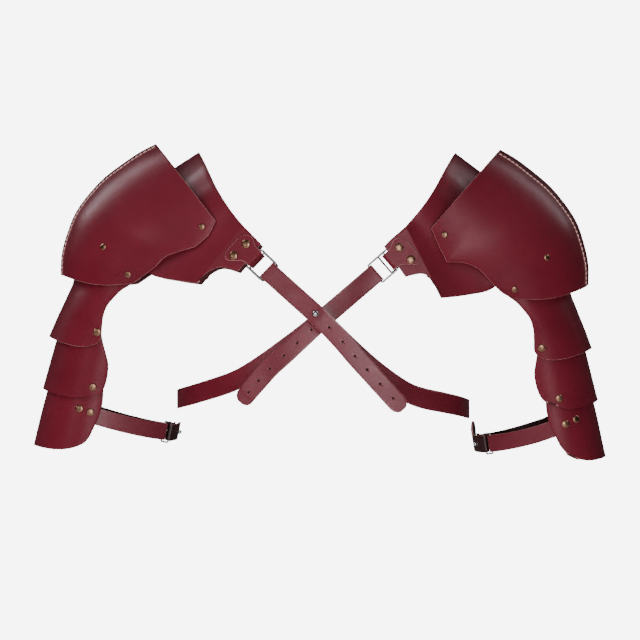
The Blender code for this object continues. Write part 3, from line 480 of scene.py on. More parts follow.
# The back panel is at its lowest this far short of the seam, in radians, and level again past the ridge.
DIP_FULL = 0.05
DIP_END = 0.04
CAP_MIDDLE = Vector((190.0, 0.0, -70.0)) * MM
QUARTER = math.pi / 2
THREAD_COLOUR = (0.95, 0.58, 0.54, 1.0)
STITCH_PITCH = 4.2 * MM
STITCH_LENGTH = 3.8 * MM
THREAD = 1.3 * MM
THREAD_SIDES = 8
THREAD_ROUGHNESS = 0.6
STITCH_INSET = math.radians(5.0)
STITCH_SEARCH_STEPS = 30
STITCH_ARCH = [
    # share of the stitch's length, how many threads high
    (0.0, -0.5),
    (0.08, 0.15),
    (0.3, 0.5),
    (0.7, 0.5),
    (0.92, 0.15),
    (1.0, -0.5),
]


def cap_rows(side, steps):
    """A cap's rows on a smooth curve, but for its hem, which turns a corner at the lower front."""
    table = CAP_TABLE
    if side == "left":
        table = [(*row[:2], row[2] + move_x, row[3] + move_z, row[4] + deeper, row[5])
                 for row, (move_x, move_z, deeper) in zip(CAP_TABLE, LEFT_CAP_SLIP)]
    curved = smooth_rows(table, steps)
    cornered = smooth_rows(table, steps, corners=(HEM_CORNER,))
    return [(*ridge[:2], *hem[2:4], *ridge[4:]) for ridge, hem in zip(curved, cornered)]


def cap_point(row, angle):
    ridge_x, ridge_z, hem_x, hem_z, depth, sag = row
    share = 1.0 - math.cos(angle)
    x = ridge_x + (hem_x - ridge_x) * share
    z = ridge_z + (hem_z - ridge_z) * share - sag * math.sin(math.pi * share)
    return Vector((x, -depth * math.sin(angle), z)) * MM


def grid_normals(rows, away_from):
    normals = []
    for i, row in enumerate(rows):
        line = []
        for j in range(len(row)):
            along = rows[min(i + 1, len(rows) - 1)][j] - rows[max(i - 1, 0)][j]
            across = row[min(j + 1, len(row) - 1)] - row[max(j - 1, 0)]
            normal = across.cross(along).normalized()
            line.append(normal if normal.dot(row[j] - away_from) > 0 else -normal)
        normals.append(line)
    return normals


def make_cap(side):
    table = cap_rows(side, CAP_ROW_STEPS)
    front_angles = [CAP_SEAM + (QUARTER - CAP_SEAM) * k / FRONT_COLUMNS for k in range(FRONT_COLUMNS + 1)]
    front = [[cap_point(row, angle) for angle in front_angles] for row in table]
    cap_front = cut_leather(side + "_cap_front", front, around=CAP_MIDDLE, side=side)

    # The back panel dips under the front panel's edge.
    dip = LEATHER + GAP
    lap = [CAP_SEAM + CAP_LAP * (1.0 - k / 4) for k in range(5)]
    rise = [CAP_SEAM - (CAP_SEAM + DIP_END) * k / 8 for k in range(1, 9)]
    level = [-DIP_END - (QUARTER - DIP_END) * k / BACK_COLUMNS for k in range(1, BACK_COLUMNS + 1)]
    back_angles = lap + rise + level
    skin = [[cap_point(row, angle) for angle in back_angles] for row in table]
    normals = grid_normals(skin, CAP_MIDDLE)
    back = []
    for row, line in zip(skin, normals):
        new_row = []
        for point, normal, angle in zip(row, line, back_angles):
            share = min(max((angle + DIP_END) / (CAP_SEAM - DIP_FULL + DIP_END), 0.0), 1.0)
            new_row.append(point - normal * dip * share * share * (3.0 - 2.0 * share))
        back.append(new_row)
    cap_back = cut_leather(side + "_cap_back", back, around=CAP_MIDDLE, side=side)
    return cap_front, cap_back


def make_thread():
    material, nodes, links, shader = new_finish("pale_thread")
    place = nodes.new("ShaderNodeTexCoord")
    twist = add_noise(nodes, links, place, scale=1500.0, detail=2.0)
    bump = add_bump(nodes, links, twist.outputs["Fac"], strength=0.4, distance=0.2 * MM)
    links.new(bump.outputs["Normal"], shader.inputs["Normal"])
    shader.inputs["Base Color"].default_value = THREAD_COLOUR
    shader.inputs["Roughness"].default_value = THREAD_ROUGHNESS
    return material


PALE_THREAD = make_thread()


def add_stitch(shape, start, end, out):
    """One short thread between two holes, its ends going down into the leather."""
    way = (end - start).normalized()
    side_way = way.cross(out).normalized()
    loops = []
    for share, lift in STITCH_ARCH:
        centre = start.lerp(end, share) + out * THREAD * lift
        loop = []
        for k in range(THREAD_SIDES):
            turn = 2.0 * math.pi * k / THREAD_SIDES
            reach = side_way * math.cos(turn) + out * math.sin(turn)
            loop.append(shape.verts.new(centre + reach * THREAD / 2))
        loops.append(loop)
    for first, second in zip(loops, loops[1:]):
        for k in range(THREAD_SIDES):
            m = (k + 1) % THREAD_SIDES
            shape.faces.new((first[k], first[m], second[m], second[k]))
    shape.faces.new(list(reversed(loops[0])))
    shape.faces.new(loops[-1])


def shaded_piece(shape, name, finish):
    """A finished piece from a closed shape."""
    bmesh.ops.recalc_face_normals(shape, faces=shape.faces)
    mesh = bpy.data.meshes.new(name)
    shape.to_mesh(mesh)
    shape.free()
    mesh.materials.append(finish)
    mesh.shade_smooth()
    return put_in_scene(name, mesh)


def make_cap_stitches(side):
    table = cap_rows(side, STITCH_SEARCH_STEPS)
    line = [cap_point(row, CAP_SEAM + STITCH_INSET) for row in table]
    inner = [cap_point(row, CAP_SEAM + STITCH_INSET * 2.0) for row in table]
    outs = []
    for i, point in enumerate(line):
        out = way_at(line, i).cross(inner[i] - point).normalized()
        outs.append(out if out.dot(point - CAP_MIDDLE) > 0 else -out)
    shape = bmesh.new()
    travelled = 0.0
    next_start = STITCH_PITCH / 2
    start = None
    for i in range(1, len(line)):
        travelled += (line[i] - line[i - 1]).length
        if start is None and travelled >= next_start:
            start = (i, travelled)
        if start is not None and travelled >= start[1] + STITCH_LENGTH:
            out = outs[start[0]]
            add_stitch(shape, line[start[0]], line[i], out)
            next_start += STITCH_PITCH
            start = None
    bmesh.ops.transform(shape, matrix=SIDES[side], verts=shape.verts)
    piece = shaded_piece(shape, side + "_cap_stitches", PALE_THREAD)
    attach(piece, "root")


caps = {side: make_cap(side) for side in SIDES}
for side in SIDES:
    make_cap_stitches(side)

# Arm lames: three curved plates a side that lap like tiles down the upper arm, each cut with a round
# front corner. The left ones have turned a little round the arm.
ARM_TOP = Vector((217.0, 0.0, -96.0)) * MM
ARM_SPLAY = math.radians(12.0)
DOWN_ARM = Vector((math.sin(ARM_SPLAY), 0.0, -math.cos(ARM_SPLAY)))
ACROSS_ARM = Vector((math.cos(ARM_SPLAY), 0.0, math.sin(ARM_SPLAY)))
UPPER_LAME = [
    # s outside, s edge, w outward, w centre, depth, w edge
    (-32.0, -10.0, 46.0, -14.0, 66.5, -24.0),
    (-12.0, 2.0, 45.5, -14.0, 66.5, -22.0),
    (6.0, 11.1, 44.5, -14.0, 66.5, -17.7),
    (22.0, 18.2, 44.0, -12.5, 66.5, -10.6),
    (34.0, 28.2, 46.5, -9.5, 65.5, -3.9),
    (46.0, 38.5, 49.2, -6.0, 63.5, 1.2),
    (58.0, 50.0, 52.0, -3.0, 60.5, 2.7),
    (69.0, 62.0, 54.3, -1.0, 58.6, 1.6),
    (76.5, 71.5, 55.8, -0.4, 57.8, 0.6),
    (81.7, 77.5, 56.8, 0.0, 57.3, 3.2),
]
MIDDLE_LAME = [
    (58.0, 54.0, 47.2, 0.0, 56.0, 3.6),
    (70.0, 66.0, 47.8, 0.0, 55.2, 1.6),
    (82.0, 76.0, 48.4, 0.0, 54.6, -2.6),
    (94.0, 86.0, 49.2, 0.0, 54.1, -7.6),
    (106.0, 96.0, 50.0, 0.0, 53.7, -12.2),
    (117.0, 108.0, 50.7, 0.0, 53.3, -14.0),
    (127.0, 119.0, 51.3, 0.0, 52.9, -13.6),
    (133.0, 126.0, 51.7, 0.0, 52.7, -11.5),
    (136.5, 129.5, 51.9, 0.0, 52.6, -7.0),
]
LOWER_LAME = [
    (112.0, 108.0, 45.5, 0.0, 49.6, -10.0),
    (126.0, 122.0, 46.2, 0.0, 49.3, -12.5),
    (139.5, 137.0, 46.9, 0.0, 49.2, -14.6),
    (157.0, 151.0, 47.9, 0.0, 49.6, -14.0),
    (174.0, 165.0, 48.5, 0.0, 49.7, -11.0),
    (186.0, 175.0, 48.8, 0.0, 49.6, -8.4),
    (193.0, 182.0, 48.9, 0.0, 49.5, -4.5),
    (196.2, 187.0, 49.0, 0.0, 49.5, 2.0),
]
LAMES = [
    # name, rows, hem's drop and corner
    ("lame_upper", UPPER_LAME, (7.0, 6)),
    ("lame_middle", MIDDLE_LAME, (6.0, 4)),
    ("lame_lower", LOWER_LAME, (0.5, 4)),
]
# Degrees that a lame's front edge is moved outward round the arm, at its first and last row. The same
# for its back edge, at its hidden top and below it. Then how far the left lames have slipped inward.
LAME_FRONT_TURNS = {
    "right": [(0.0, 0.0), (0.0, 0.0), (0.0, 0.0)],
    "left": [(-2.0, -3.0), (-2.0, 12.0), (14.0, 17.0)],
}
LAME_BACK_TURNS = {
    "right": [(0.0, 11.0), (11.0, 11.0), (11.0, 11.0)],
    "left": [(0.0, 15.0), (16.0, 25.0), (34.0, 34.0)],
}
LAME_SLIP = {
    "right": [(0.0, 0.0), (0.0, 0.0), (0.0, 0.0)],
    "left": [(-4.6, -4.6), (-3.9, -1.8), (-2.2, 0.0)],
}
LAME_STEPS = 56
LAME_ROW_STEPS = 6
# How softly a lame's hem turns at the middle of the arm, as a share of half its width.
HEM_SOFTNESS = 0.1


def arm_point(s, w, y):
    return ARM_TOP + DOWN_ARM * s + ACROSS_ARM * w + Vector((0.0, y, 0.0))


def lame_row(row, first, last, hem):
    s_outside, s_edge, w_outward, w_centre, depth, w_edge, front, back, slip = row
    rise, corner = hem
    rise = rise * (s_outside - first) / (last - first)
    end = math.acos((w_edge - w_centre) / (w_outward - w_centre))
    points = []
    for k in range(LAME_STEPS + 1):
        turn = 2.0 * k / LAME_STEPS - 1.0
        angle = end * turn + math.radians(front) * (1.0 - turn) / 2 - math.radians(back) * (1.0 + turn) / 2
        share = math.hypot(turn, HEM_SOFTNESS) - HEM_SOFTNESS
        share = min(share / (math.hypot(1.0, HEM_SOFTNESS) - HEM_SOFTNESS), 1.0)
        s = s_outside + rise * share + (s_edge - s_outside - rise) * share ** corner
        w = w_centre + (w_outward - w_centre) * math.cos(angle) + slip
        points.append(arm_point(s * MM, w * MM, depth * math.sin(angle) * MM))
    return points


def make_lame(side, order, name, table, hem):
    front, back, slips = LAME_FRONT_TURNS[side][order], LAME_BACK_TURNS[side][order], LAME_SLIP[side][order]
    rows = []
    for i, row in enumerate(table):
        down = i / (len(table) - 1)
        shown = min(max(i - 1, 0) / 2, 1.0)
        rows.append((*row, front[0] + (front[1] - front[0]) * down, back[0] + (back[1] - back[0]) * shown,
                     slips[0] + (slips[1] - slips[0]) * down))
    first, last = table[0][0], table[-1][0]
    grid = [lame_row(row, first, last, hem) for row in smooth_rows(rows, LAME_ROW_STEPS)]
    middle = arm_point((first + last) / 2 * MM, 0.0, 0.0)
    return cut_leather(side + "_" + name, grid, around=middle, side=side)


lames = {side: [make_lame(side, order, *lame) for order, lame in enumerate(LAMES)] for side in SIDES}

# Tab and ring: a T-shaped leather tab folded round a chromed wire ring, front and back, so that the
# yoke's end is held between its two leaves.
TAB_TABLE = [
    # back from the ring's bar, half width, moved across
    (0.0, 9.4, 0.0),
    (2.7, 9.4, 0.0),
    (7.2, 10.6, 0.6),
    (11.7, 13.6, 1.6),
    (16.2, 16.6, 3.0),
    (20.7, 16.6, 4.0),
    (24.2, 13.8, 4.6),
    (26.2, 8.5, 5.0),
]
TAB_HALF_COLUMNS = 6
RING_CHROME_TINT = (0.34, 0.32, 0.33, 1.0)
CHROME_GLOSSIEST = 0.10
CHROME_DULLEST = 0.20
CORNER_STEPS = 6
WIRE_ROUNDNESS = 5


def make_tab(side, face):
    bar = RING_CENTRE + REACH[side] - RING_ALONG * RING_LENGTH / 2
    leaf = smooth_rows(TAB_TABLE, 4)[1:]
    stations = []
    for back, wide, move in reversed(leaf):
        stations.append((-RING_ALONG * back * MM - RING_OUT * FOLD_RADIUS, wide, move))
    stations += [(shift, TAB_TABLE[0][1], TAB_TABLE[0][2])
                 for shift in fold_round(Vector(), -RING_OUT, RING_ALONG, FOLD_RADIUS, 12)]
    for back, wide, move in leaf:
        stations.append((-RING_ALONG * back * MM + RING_OUT * FOLD_RADIUS, wide, move))
    rows = []
    for shift, wide, move in stations:
        middle = bar + shift - RING_ACROSS * move * MM
        rows.append([middle + RING_ACROSS * wide * MM * k / TAB_HALF_COLUMNS
                     for k in range(-TAB_HALF_COLUMNS, TAB_HALF_COLUMNS + 1)])
    if face == "back":
        rows = [[mirror_y(point) for point in row] for row in rows]
    return cut_leather(side + "_tab_" + face, rows, lining=GRAIN, side=side)


def make_chrome(name, tint):
    material, nodes, links, shader = new_finish(name)
    place = nodes.new("ShaderNodeTexCoord")
    haze = add_noise(nodes, links, place, scale=300.0, detail=3.0)
    rough = add_ramp(nodes, links, haze.outputs["Fac"], low=(0.3, grey(CHROME_GLOSSIEST)),
                     high=(0.7, grey(CHROME_DULLEST)))
    links.new(rough.outputs["Color"], shader.inputs["Roughness"])
    shader.inputs["Base Color"].default_value = tint
    shader.inputs["Metallic"].default_value = 1.0
    return material


RING_CHROME = make_chrome("dark_ring_chrome", RING_CHROME_TINT)


def bend_ring(node, centre, along, across, length, width, wire, corner, side):
    """A rectangle of wire with round corners, its ends butted together."""
    points = []
    for a, b in [(1, 1), (-1, 1), (-1, -1), (1, -1)]:
        start = 0.0 if a * b > 0 else QUARTER
        for k in range(CORNER_STEPS + 1):
            turn = QUARTER * k / CORNER_STEPS
            turn = turn if a * b > 0 else QUARTER - turn
            u = a * (length / 2 - corner + corner * math.cos(turn))
            v = b * (width / 2 - corner + corner * math.sin(turn))
            points.append(SIDES[side] @ (centre + along * u + across * v))
    curve = bpy.data.curves.new(node + "_chrome", "CURVE")
    curve.dimensions = "3D"
    curve.bevel_depth = wire / 2
    curve.bevel_resolution = WIRE_ROUNDNESS
    spline = curve.splines.new("POLY")
    spline.points.add(len(points) - 1)
    for target, point in zip(spline.points, points):
        target.co = (*point, 1.0)
    spline.use_cyclic_u = True
    curve.materials.append(RING_CHROME)
    wire_shape = put_in_scene(node + "_wire", curve)
    bpy.context.view_layer.update()
    mesh = bpy.data.meshes.new_from_object(wire_shape.evaluated_get(bpy.context.evaluated_depsgraph_get()))
    bpy.data.objects.remove(wire_shape)
    mesh.shade_smooth()
    return stand_in(put_in_scene(node + "_chrome", mesh), node)


tabs = {}
for side in SIDES:
    for face in ("front", "back"):
        tabs[side, face] = make_tab(side, face)
        centre, along, across = RING_CENTRE + REACH[side], RING_ALONG, RING_ACROSS
        if face == "back":
            centre, along, across = mirror_y(centre), mirror_y(along), mirror_y(across)
        bend_ring(side + "_ring_" + face, centre, along, across, RING_LENGTH, RING_WIDTH, RING_WIRE,
                  RING_CORNER, side)

# Arm straps: two straps inside the lower lame meet at a small chromed ring on the arm's inner side.
# The back one goes through the ring, folds over itself and ends in a free tail.
ARM_STRAP_WIDTH = 17.6 * MM
ARM_LOOP_INWARD = {"right": 95.5 * MM, "left": 85.5 * MM}
ARM_LOOP_DEPTH = 45.3 * MM
ARM_LOOP_S = {"right": 150.8 * MM, "left": 155.5 * MM}
ARM_LOOP_SAG = 4.0 * MM
ARM_LOOP_DROP = {"right": 0.0, "left": 5.0 * MM}
ARM_LOOP_POWER = 1.5
LAME_SIDE_REACH = 42.0 * MM
ARM_RING_WIRE = 1.8 * MM
ARM_FOLD_RADIUS = ARM_RING_WIRE / 2 + GAP + LEATHER / 2
ARM_BAR_FRONT = {"right": math.radians(26.0), "left": math.radians(32.0)}
ARM_BAR_INNER = {"right": math.radians(17.5), "left": math.radians(24.5)}
ARM_STRAP_END = {"right": math.radians(110.0), "left": math.radians(138.0)}
ARM_STRAP_BACK_END = math.radians(138.0)
ARM_RING_WIDTH = ARM_STRAP_WIDTH + 3.6 * MM
ARM_RING_CORNER = 1.2 * MM
FRONT_RETURN_STEP = math.radians(6.0)
BACK_STRAP_BEND = math.radians(14.0)
TAIL_FOLD_LEAD = math.radians(6.5)
TAIL_CLEARANCE = 0.5 * MM
SLOPE_STEP = 0.03
ARM_TAIL_LIFT = {"right": 2.0 * MM, "left": 20.0 * MM}
ARM_TAIL_TABLE = [
    # away from the arm, back, share of the rise, width
    (0.2, 5.0, 0.04, 1.0),
    (0.1, 10.0, 0.18, 1.0),
    (-0.5, 15.0, 0.42, 0.95),
    (-1.4, 20.0, 0.72, 0.7),
    (-2.0, 23.5, 0.95, 0.32),
]


def loop_point(side, angle, inward):
    across, deep = math.cos(angle), math.sin(angle)
    s = ARM_LOOP_S[side]
    if across < 0:
        return arm_point(s, -LAME_SIDE_REACH * across, -ARM_LOOP_DEPTH * deep)
    power = 2.0 / ARM_LOOP_POWER
    s += ARM_LOOP_SAG * abs(math.sin(2 * angle)) + ARM_LOOP_DROP[side] * across
    depth = math.copysign(abs(deep) ** power, deep) * ARM_LOOP_DEPTH
    return arm_point(s, -inward * across ** power, -depth)


def loop_out(side, angle):
    inward = ARM_LOOP_INWARD[side]
    along = loop_point(side, angle + SLOPE_STEP, inward) - loop_point(side, angle - SLOPE_STEP, inward)
    out = along.cross(DOWN_ARM).normalized()
    middle = arm_point(ARM_LOOP_S[side], 0.0, 0.0)
    return out if out.dot(loop_point(side, angle, inward) - middle) > 0 else -out


def strap_rows(stations, width, steps, columns=8):
    """Smooth rows of a strap. A station is a point, the way its width runs, and a width share."""
    table = [(*point, *across, share) for point, across, share in stations]
    rows = []
    for line in smooth_rows(table, steps):
        point, across = Vector(line[:3]), Vector(line[3:6]).normalized()
        half_width = width * line[6] / 2
        rows.append([point + across * half_width * (2.0 * k / columns - 1.0) for k in range(columns + 1)])
    return rows


def make_arm_straps(side):
    across = DOWN_ARM
    inward = ARM_LOOP_INWARD[side]
    bar_angle = ARM_BAR_INNER[side]
    outer_front = loop_point(side, ARM_BAR_FRONT[side], inward)
    outer_inner = loop_point(side, bar_angle, inward)
    along = (outer_inner - outer_front).normalized()
    along = (along - across * along.dot(across)).normalized()
    out = across.cross(along).normalized()
    if out.dot(ACROSS_ARM) > 0:
        out = -out
    length = (outer_inner - outer_front).dot(along)
    bar_front = outer_front - out * ARM_FOLD_RADIUS
    bar_inner = bar_front + along * length
    bend_ring(side + "_arm_ring", bar_front + along * length / 2, along, across, length, ARM_RING_WIDTH,
              ARM_RING_WIRE, ARM_RING_CORNER, side)

    stations = []
    for k in range(11):
        angle = ARM_STRAP_END[side] + (ARM_BAR_FRONT[side] - ARM_STRAP_END[side]) * k / 10
        stations.append((loop_point(side, angle, inward), across, 1.0))
    stations += [(point, across, 1.0)
                 for point in fold_round(bar_front, out, along, ARM_FOLD_RADIUS, 8)[1:]]
    for k in (1, 2):
        angle = ARM_BAR_FRONT[side] + FRONT_RETURN_STEP * k
        inner = loop_point(side, angle, inward) - loop_out(side, angle) * 2 * ARM_FOLD_RADIUS
        stations.append((inner, across, 1.0))
    front_strap = cut_leather(side + "_arm_strap_front", strap_rows(stations, ARM_STRAP_WIDTH, 4),
                              face=STRAP_GRAIN, lining=STRAP_GRAIN, side=side)

    stations = []
    fold_start = bar_angle - TAIL_FOLD_LEAD
    angles = [(ARM_STRAP_BACK_END - BACK_STRAP_BEND) * k / 8 - ARM_STRAP_BACK_END for k in range(9)]
    for angle in angles + [0.0, fold_start]:
        under = loop_point(side, angle, inward) - loop_out(side, angle) * 2 * ARM_FOLD_RADIUS
        stations.append((under, across, 1.0))
    stations += [(point, across, 1.0)
                 for point in fold_round(bar_inner, -out, -along, ARM_FOLD_RADIUS, 8)]
    points = [loop_point(side, fold_start * share, inward + TAIL_CLEARANCE) for share in (1.0, 0.5, 0.0)]
    flat, tip = len(points), points[-1]
    for away, back, rise, _ in ARM_TAIL_TABLE:
        shift = Vector((0.0, back, 0.0)) * MM - ACROSS_ARM * away * MM
        points.append(tip + shift - DOWN_ARM * ARM_TAIL_LIFT[side] * rise)
    shares = [1.0] * flat + [row[3] for row in ARM_TAIL_TABLE]
    for i, (point, share) in enumerate(zip(points, shares)):
        way = way_at(points, i)
        sideways = (across - way * across.dot(way)).normalized()
        stations.append((point, across if i < flat else sideways, share))
    back_strap = cut_leather(side + "_arm_strap_back", strap_rows(stations, ARM_STRAP_WIDTH, 4),
                             face=PAINTED_SHADE_STRAP_GRAIN, lining=PAINTED_SHADE_STRAP_GRAIN, side=side)
    return front_strap, back_strap


arm_straps = {side: make_arm_straps(side) for side in SIDES}

# Chest straps: each leaves its shoulder's front ring, crosses the chest, goes under the other arm and
# round the back to the same shoulder's back ring. Its punched tail comes back through the front ring.
STUD_TOP_STRAP = Vector((-9.7, -123.0, -140.9)) * MM
STUD_UNDER_STRAP = Vector((0.5, -112.0, -143.4)) * MM
STRAP_LAYER = LEATHER + GAP
TOP_STRAP_ROUND = [
    # x, z, depth at the front, depth at the back
    (17.4, -167.5, 121.5, 115.0),
    (35.9, -184.9, 117.0, 113.5),
    (55.4, -201.4, 111.0, 110.0),
    (74.0, -214.8, 105.0, 105.0),
    (89.5, -224.2, 97.0, 97.0),
    (105.2, -229.5, 88.0, 88.0),
    (124.2, -233.4, 70.0, 70.0),
    (142.6, -237.6, 41.0, 41.0),
    (150.7, -240.4, 0.0, 0.0),
]
UNDER_STRAP_ROUND = [
    (-11.4, -153.2, 112.0, 112.0),
    (-25.6, -164.4, 111.5, 111.5),
    (-40.1, -175.2, 110.0, 110.0),
    (-60.7, -190.1, 106.0, 106.0),
    (-82.9, -204.3, 98.0, 98.0),
    (-101.0, -213.1, 87.0, 87.0),
    (-133.0, -223.5, 57.0, 57.0),
    (-150.2, -228.4, 24.0, 24.0),
    (-154.3, -229.9, 0.0, 0.0),
]
TOP_TAIL = [
    # x, z, depth
    (4.1, -154.5, 126.0),
    (17.9, -169.2, 127.5),
    (30.3, -183.8, 129.5),
    (42.9, -197.7, 131.5),
    (56.3, -212.4, 133.5),
    (69.2, -226.7, 135.5),
    (80.0, -238.6, 136.5),
]
UNDER_TAIL = [
    (-14.0, -156.8, 114.8),
    (-28.7, -170.7, 116.0),
    (-42.3, -183.5, 117.5),
    (-56.7, -196.6, 118.5),
    (-68.1, -209.3, 118.5),
    (-78.4, -221.1, 117.0),
    (-86.8, -231.7, 115.0),
]
TAIL_TIP = [
    # share of the way to the tail's second point, share of the strap's width
    (0.0, 0.30),
    (0.06, 0.52),
    (0.2, 0.78),
    (0.4, 0.94),
    (0.65, 1.0),
]
TAIL_HOLES = 6
FIRST_HOLE = 0.02
HOLE_DIAMETER = 3.0 * MM
HOLE_SLOT = 3
HOLE_FLOOR = 0.25 * MM
PUNCH_RISE = 1.5 * MM
# Painted shade: the holes' walls and floors are near-black for the shade inside them.
HOLE_SHADE_DARK = (0.020, 0.003, 0.005, 1.0)
HOLE_SHADE_LIGHT = (0.040, 0.006, 0.009, 1.0)
HOLE_ROUGHNESS = 0.9
BACK_DEPTH_TOP = 115.5 * MM
BACK_DEPTH_UNDER = 112.0 * MM
BACK_RETURN = 24.0 * MM
TORSO_HALF_WIDTH = 150.0 * MM
TORSO_HALF_DEPTH = 118.0 * MM


def torso_out(point):
    return Vector((point.x / TORSO_HALF_WIDTH ** 2, point.y / TORSO_HALF_DEPTH ** 2, 0.0)).normalized()


def laid_on_body(points, sign):
    """Stations from points and width shares, with the strap's width lying on the body."""
    line = [point for point, _ in points]
    return [(point, torso_out(point).cross(way_at(line, i)).normalized() * sign, share)
            for i, (point, share) in enumerate(points)]


def make_shaded_hole_wall():
    material, nodes, links, shader = new_finish("punched_hole_painted_shade")
    place = nodes.new("ShaderNodeTexCoord")
    fibre = add_noise(nodes, links, place, scale=600.0, detail=4.0)
    colour = add_ramp(nodes, links, fibre.outputs["Fac"], low=(0.3, HOLE_SHADE_DARK), high=(0.7, HOLE_SHADE_LIGHT))
    links.new(colour.outputs["Color"], shader.inputs["Base Color"])
    shader.inputs["Roughness"].default_value = HOLE_ROUGHNESS
    return material


PAINTED_SHADE_HOLE_WALL = make_shaded_hole_wall()


def make_punch(name, place, axis, length, diameter):
    shape = bmesh.new()
    bmesh.ops.create_cone(shape, cap_ends=True, segments=20, radius1=diameter / 2, radius2=diameter / 2,
                          depth=length)
    mesh = bpy.data.meshes.new(name)
    shape.to_mesh(mesh)
    shape.free()
    for _ in range(HOLE_SLOT + 1):
        mesh.materials.append(PAINTED_SHADE_HOLE_WALL)
    mesh.polygons.foreach_set("material_index", [HOLE_SLOT] * len(mesh.polygons))
    punch = put_in_scene(name, mesh)
    punch.location = place
    punch.rotation_mode = "QUATERNION"
    punch.rotation_quaternion = axis.to_track_quat("Z", "Y")
    punch.hide_render = True
    punch.hide_viewport = True
    return punch


def make_chest_strap(side, stud, tail, round_body, back_depth):
    place = SIDES[side] @ (RING_CENTRE + REACH[side] + RING_ALONG * RING_LENGTH / 2)
    turn = SIDES[side].to_3x3()
    along = (turn @ RING_ALONG).normalized()
    out = (turn @ RING_OUT).normalized()
    if out.y > 0:
        out = -out
    across = out.cross(-along).normalized()
    over_stud = stud + Vector((0.0, -STRAP_LAYER, 0.0))
    bar_over = place + out * FOLD_RADIUS
    bar_under = place - out * FOLD_RADIUS

    # Tail's round tip to the stud, then to the ring.
    tail_points = [over_stud] + [Vector((x, -depth, z)) * MM for x, z, depth in tail]
    tail_points.reverse()
    tip, behind_tip = tail_points[:2]
    rounded = [(tip.lerp(behind_tip, way), wide) for way, wide in TAIL_TIP]
    over = rounded + [(point, 1.0) for point in tail_points[1:]]
    over += [(over_stud.lerp(bar_over, k / 3), 1.0) for k in range(1, 4)]
    stations = laid_on_body(over, 1.0)
    stations[-1] = (bar_over, across, 1.0)
    stations += [(point, across, 1.0) for point in fold_round(place, out, -along, FOLD_RADIUS, 8)[1:]]

    # Ring to stud, round the body, and across the back to the back ring.
    front = [bar_under.lerp(stud, k / 3) for k in range(1, 3)]
    loop = [stud] + [Vector((x, -depth, z)) * MM for x, z, depth, _ in round_body]
    crossing_back = Vector((stud.x, back_depth, stud.z))
    back_points = [Vector((x, depth, z)) * MM for x, z, _, depth in round_body]
    loop += list(reversed(back_points))[1:] + [crossing_back]
    back_bar_under = mirror_y(bar_under)
    back = [crossing_back.lerp(back_bar_under, k / 3) for k in range(1, 4)]
    under = laid_on_body([(point, 1.0) for point in front + loop + back], -1.0)
    stations += under[:-1]

    # Fold round the back ring, with a short sewn return. The ring is taken to be the front one's mirror
    # image. The left guard is turned, so its strap ends 24 mm beside its back ring: a known fault.
    back_place, back_out, back_along = mirror_y(place), mirror_y(out), mirror_y(along)
    side_way = mirror_y(across)
    if side_way.dot(under[-2][1]) < 0:
        side_way = -side_way
    stations += [(point, side_way, 1.0)
                 for point in fold_round(back_place, -back_out, -back_along, FOLD_RADIUS, 8)]
    over_back = crossing_back + Vector((0.0, STRAP_LAYER, 0.0))
    start = back_place + back_out * FOLD_RADIUS
    way = (over_back - start).normalized()
    for k in (1, 2):
        stations.append((start + way * BACK_RETURN * k / 2, side_way, 1.0))

    # Holes punched along the tail, their walls and floor painted near-black as painted shade. The flesh
    # side's fibres have closed over them behind.
    centre_line = smooth_rows([tuple(point) for point in reversed(tail_points[:-1])], 8)
    centre_line = [Vector(point) for point in centre_line]
    punches = []
    for k in range(TAIL_HOLES):
        at = round((len(centre_line) - 1) * (k + FIRST_HOLE) / (TAIL_HOLES + FIRST_HOLE))
        point, way = centre_line[at], way_at(centre_line, at)
        axis = (torso_out(point) - way * torso_out(point).dot(way)).normalized()
        middle = point + axis * (HOLE_FLOOR + PUNCH_RISE) / 2
        punches.append(make_punch("%s_tail_punch_%d" % (side, k + 1), middle, axis,
                                  LEATHER + PUNCH_RISE - HOLE_FLOOR, HOLE_DIAMETER))
    return cut_leather(side + "_chest_strap", strap_rows(stations, STRAP_WIDTH, 4, 10), face=STRAP_GRAIN,
                       lining=STRAP_GRAIN, punches=punches)


chest_straps = {
    "right": make_chest_strap("right", STUD_TOP_STRAP, TOP_TAIL, TOP_STRAP_ROUND, BACK_DEPTH_TOP),
    "left": make_chest_strap("left", STUD_UNDER_STRAP, UNDER_TAIL, UNDER_STRAP_ROUND, BACK_DEPTH_UNDER),
}

# Rivets: antique brass, set from the front with a low domed cap and closed over a washer behind.
# Their caps are painted bright on the rim and dark in the middle: a painted highlight.
LAME_RIVET = 8.0 * MM
CAP_RIVET = 6.5 * MM
TAB_RIVET = 9.0 * MM
RIVET_SHANK = 2.4 * MM
CAP_LAME_RIVETS = {"right": [(229.8, -71.2), (203.9, -100.1)], "left": [(233.1, -69.8), (201.8, -104.1)]}
CAP_YOKE_RIVET = (127.0, -50.7)
UPPER_MIDDLE_RIVET = {"right": (66.4, 5.8), "left": (70.0, 1.2), "back": (66.4, 20.0)}
MIDDLE_LOWER_RIVET = {"right": (123.0, -1.5), "left": (125.1, 10.9), "back": (123.0, 22.0)}
LOWER_STRAP_RIVETS = {"right": [(147.8, 7.7), (149.1, -4.3)], "left": [(149.8, 24.7), (152.8, 13.2)]}
TAB_RIVETS = [(81.3, -68.9), (94.1, -80.8)]
RIVET_SEARCH = 160.0 * MM
PIECE_SEARCH = 200.0 * MM
LAYERS_SEARCH = 16.0 * MM
RAY_STEP = 0.02 * MM
SEAT_RAY_START = 5.0 * MM
SEAT_RAY_LENGTH = 9.0 * MM
SEAT_SPOKES = 12
SEAT_GAP = 0.05 * MM
BRASS_DARK = (0.20, 0.095, 0.055, 1.0)
BRASS_BRIGHT = (0.80, 0.47, 0.30, 1.0)
BRASS_ROUGHNESS = 0.33
STAIN = 0.3
SHARP_METAL = math.radians(50.0)
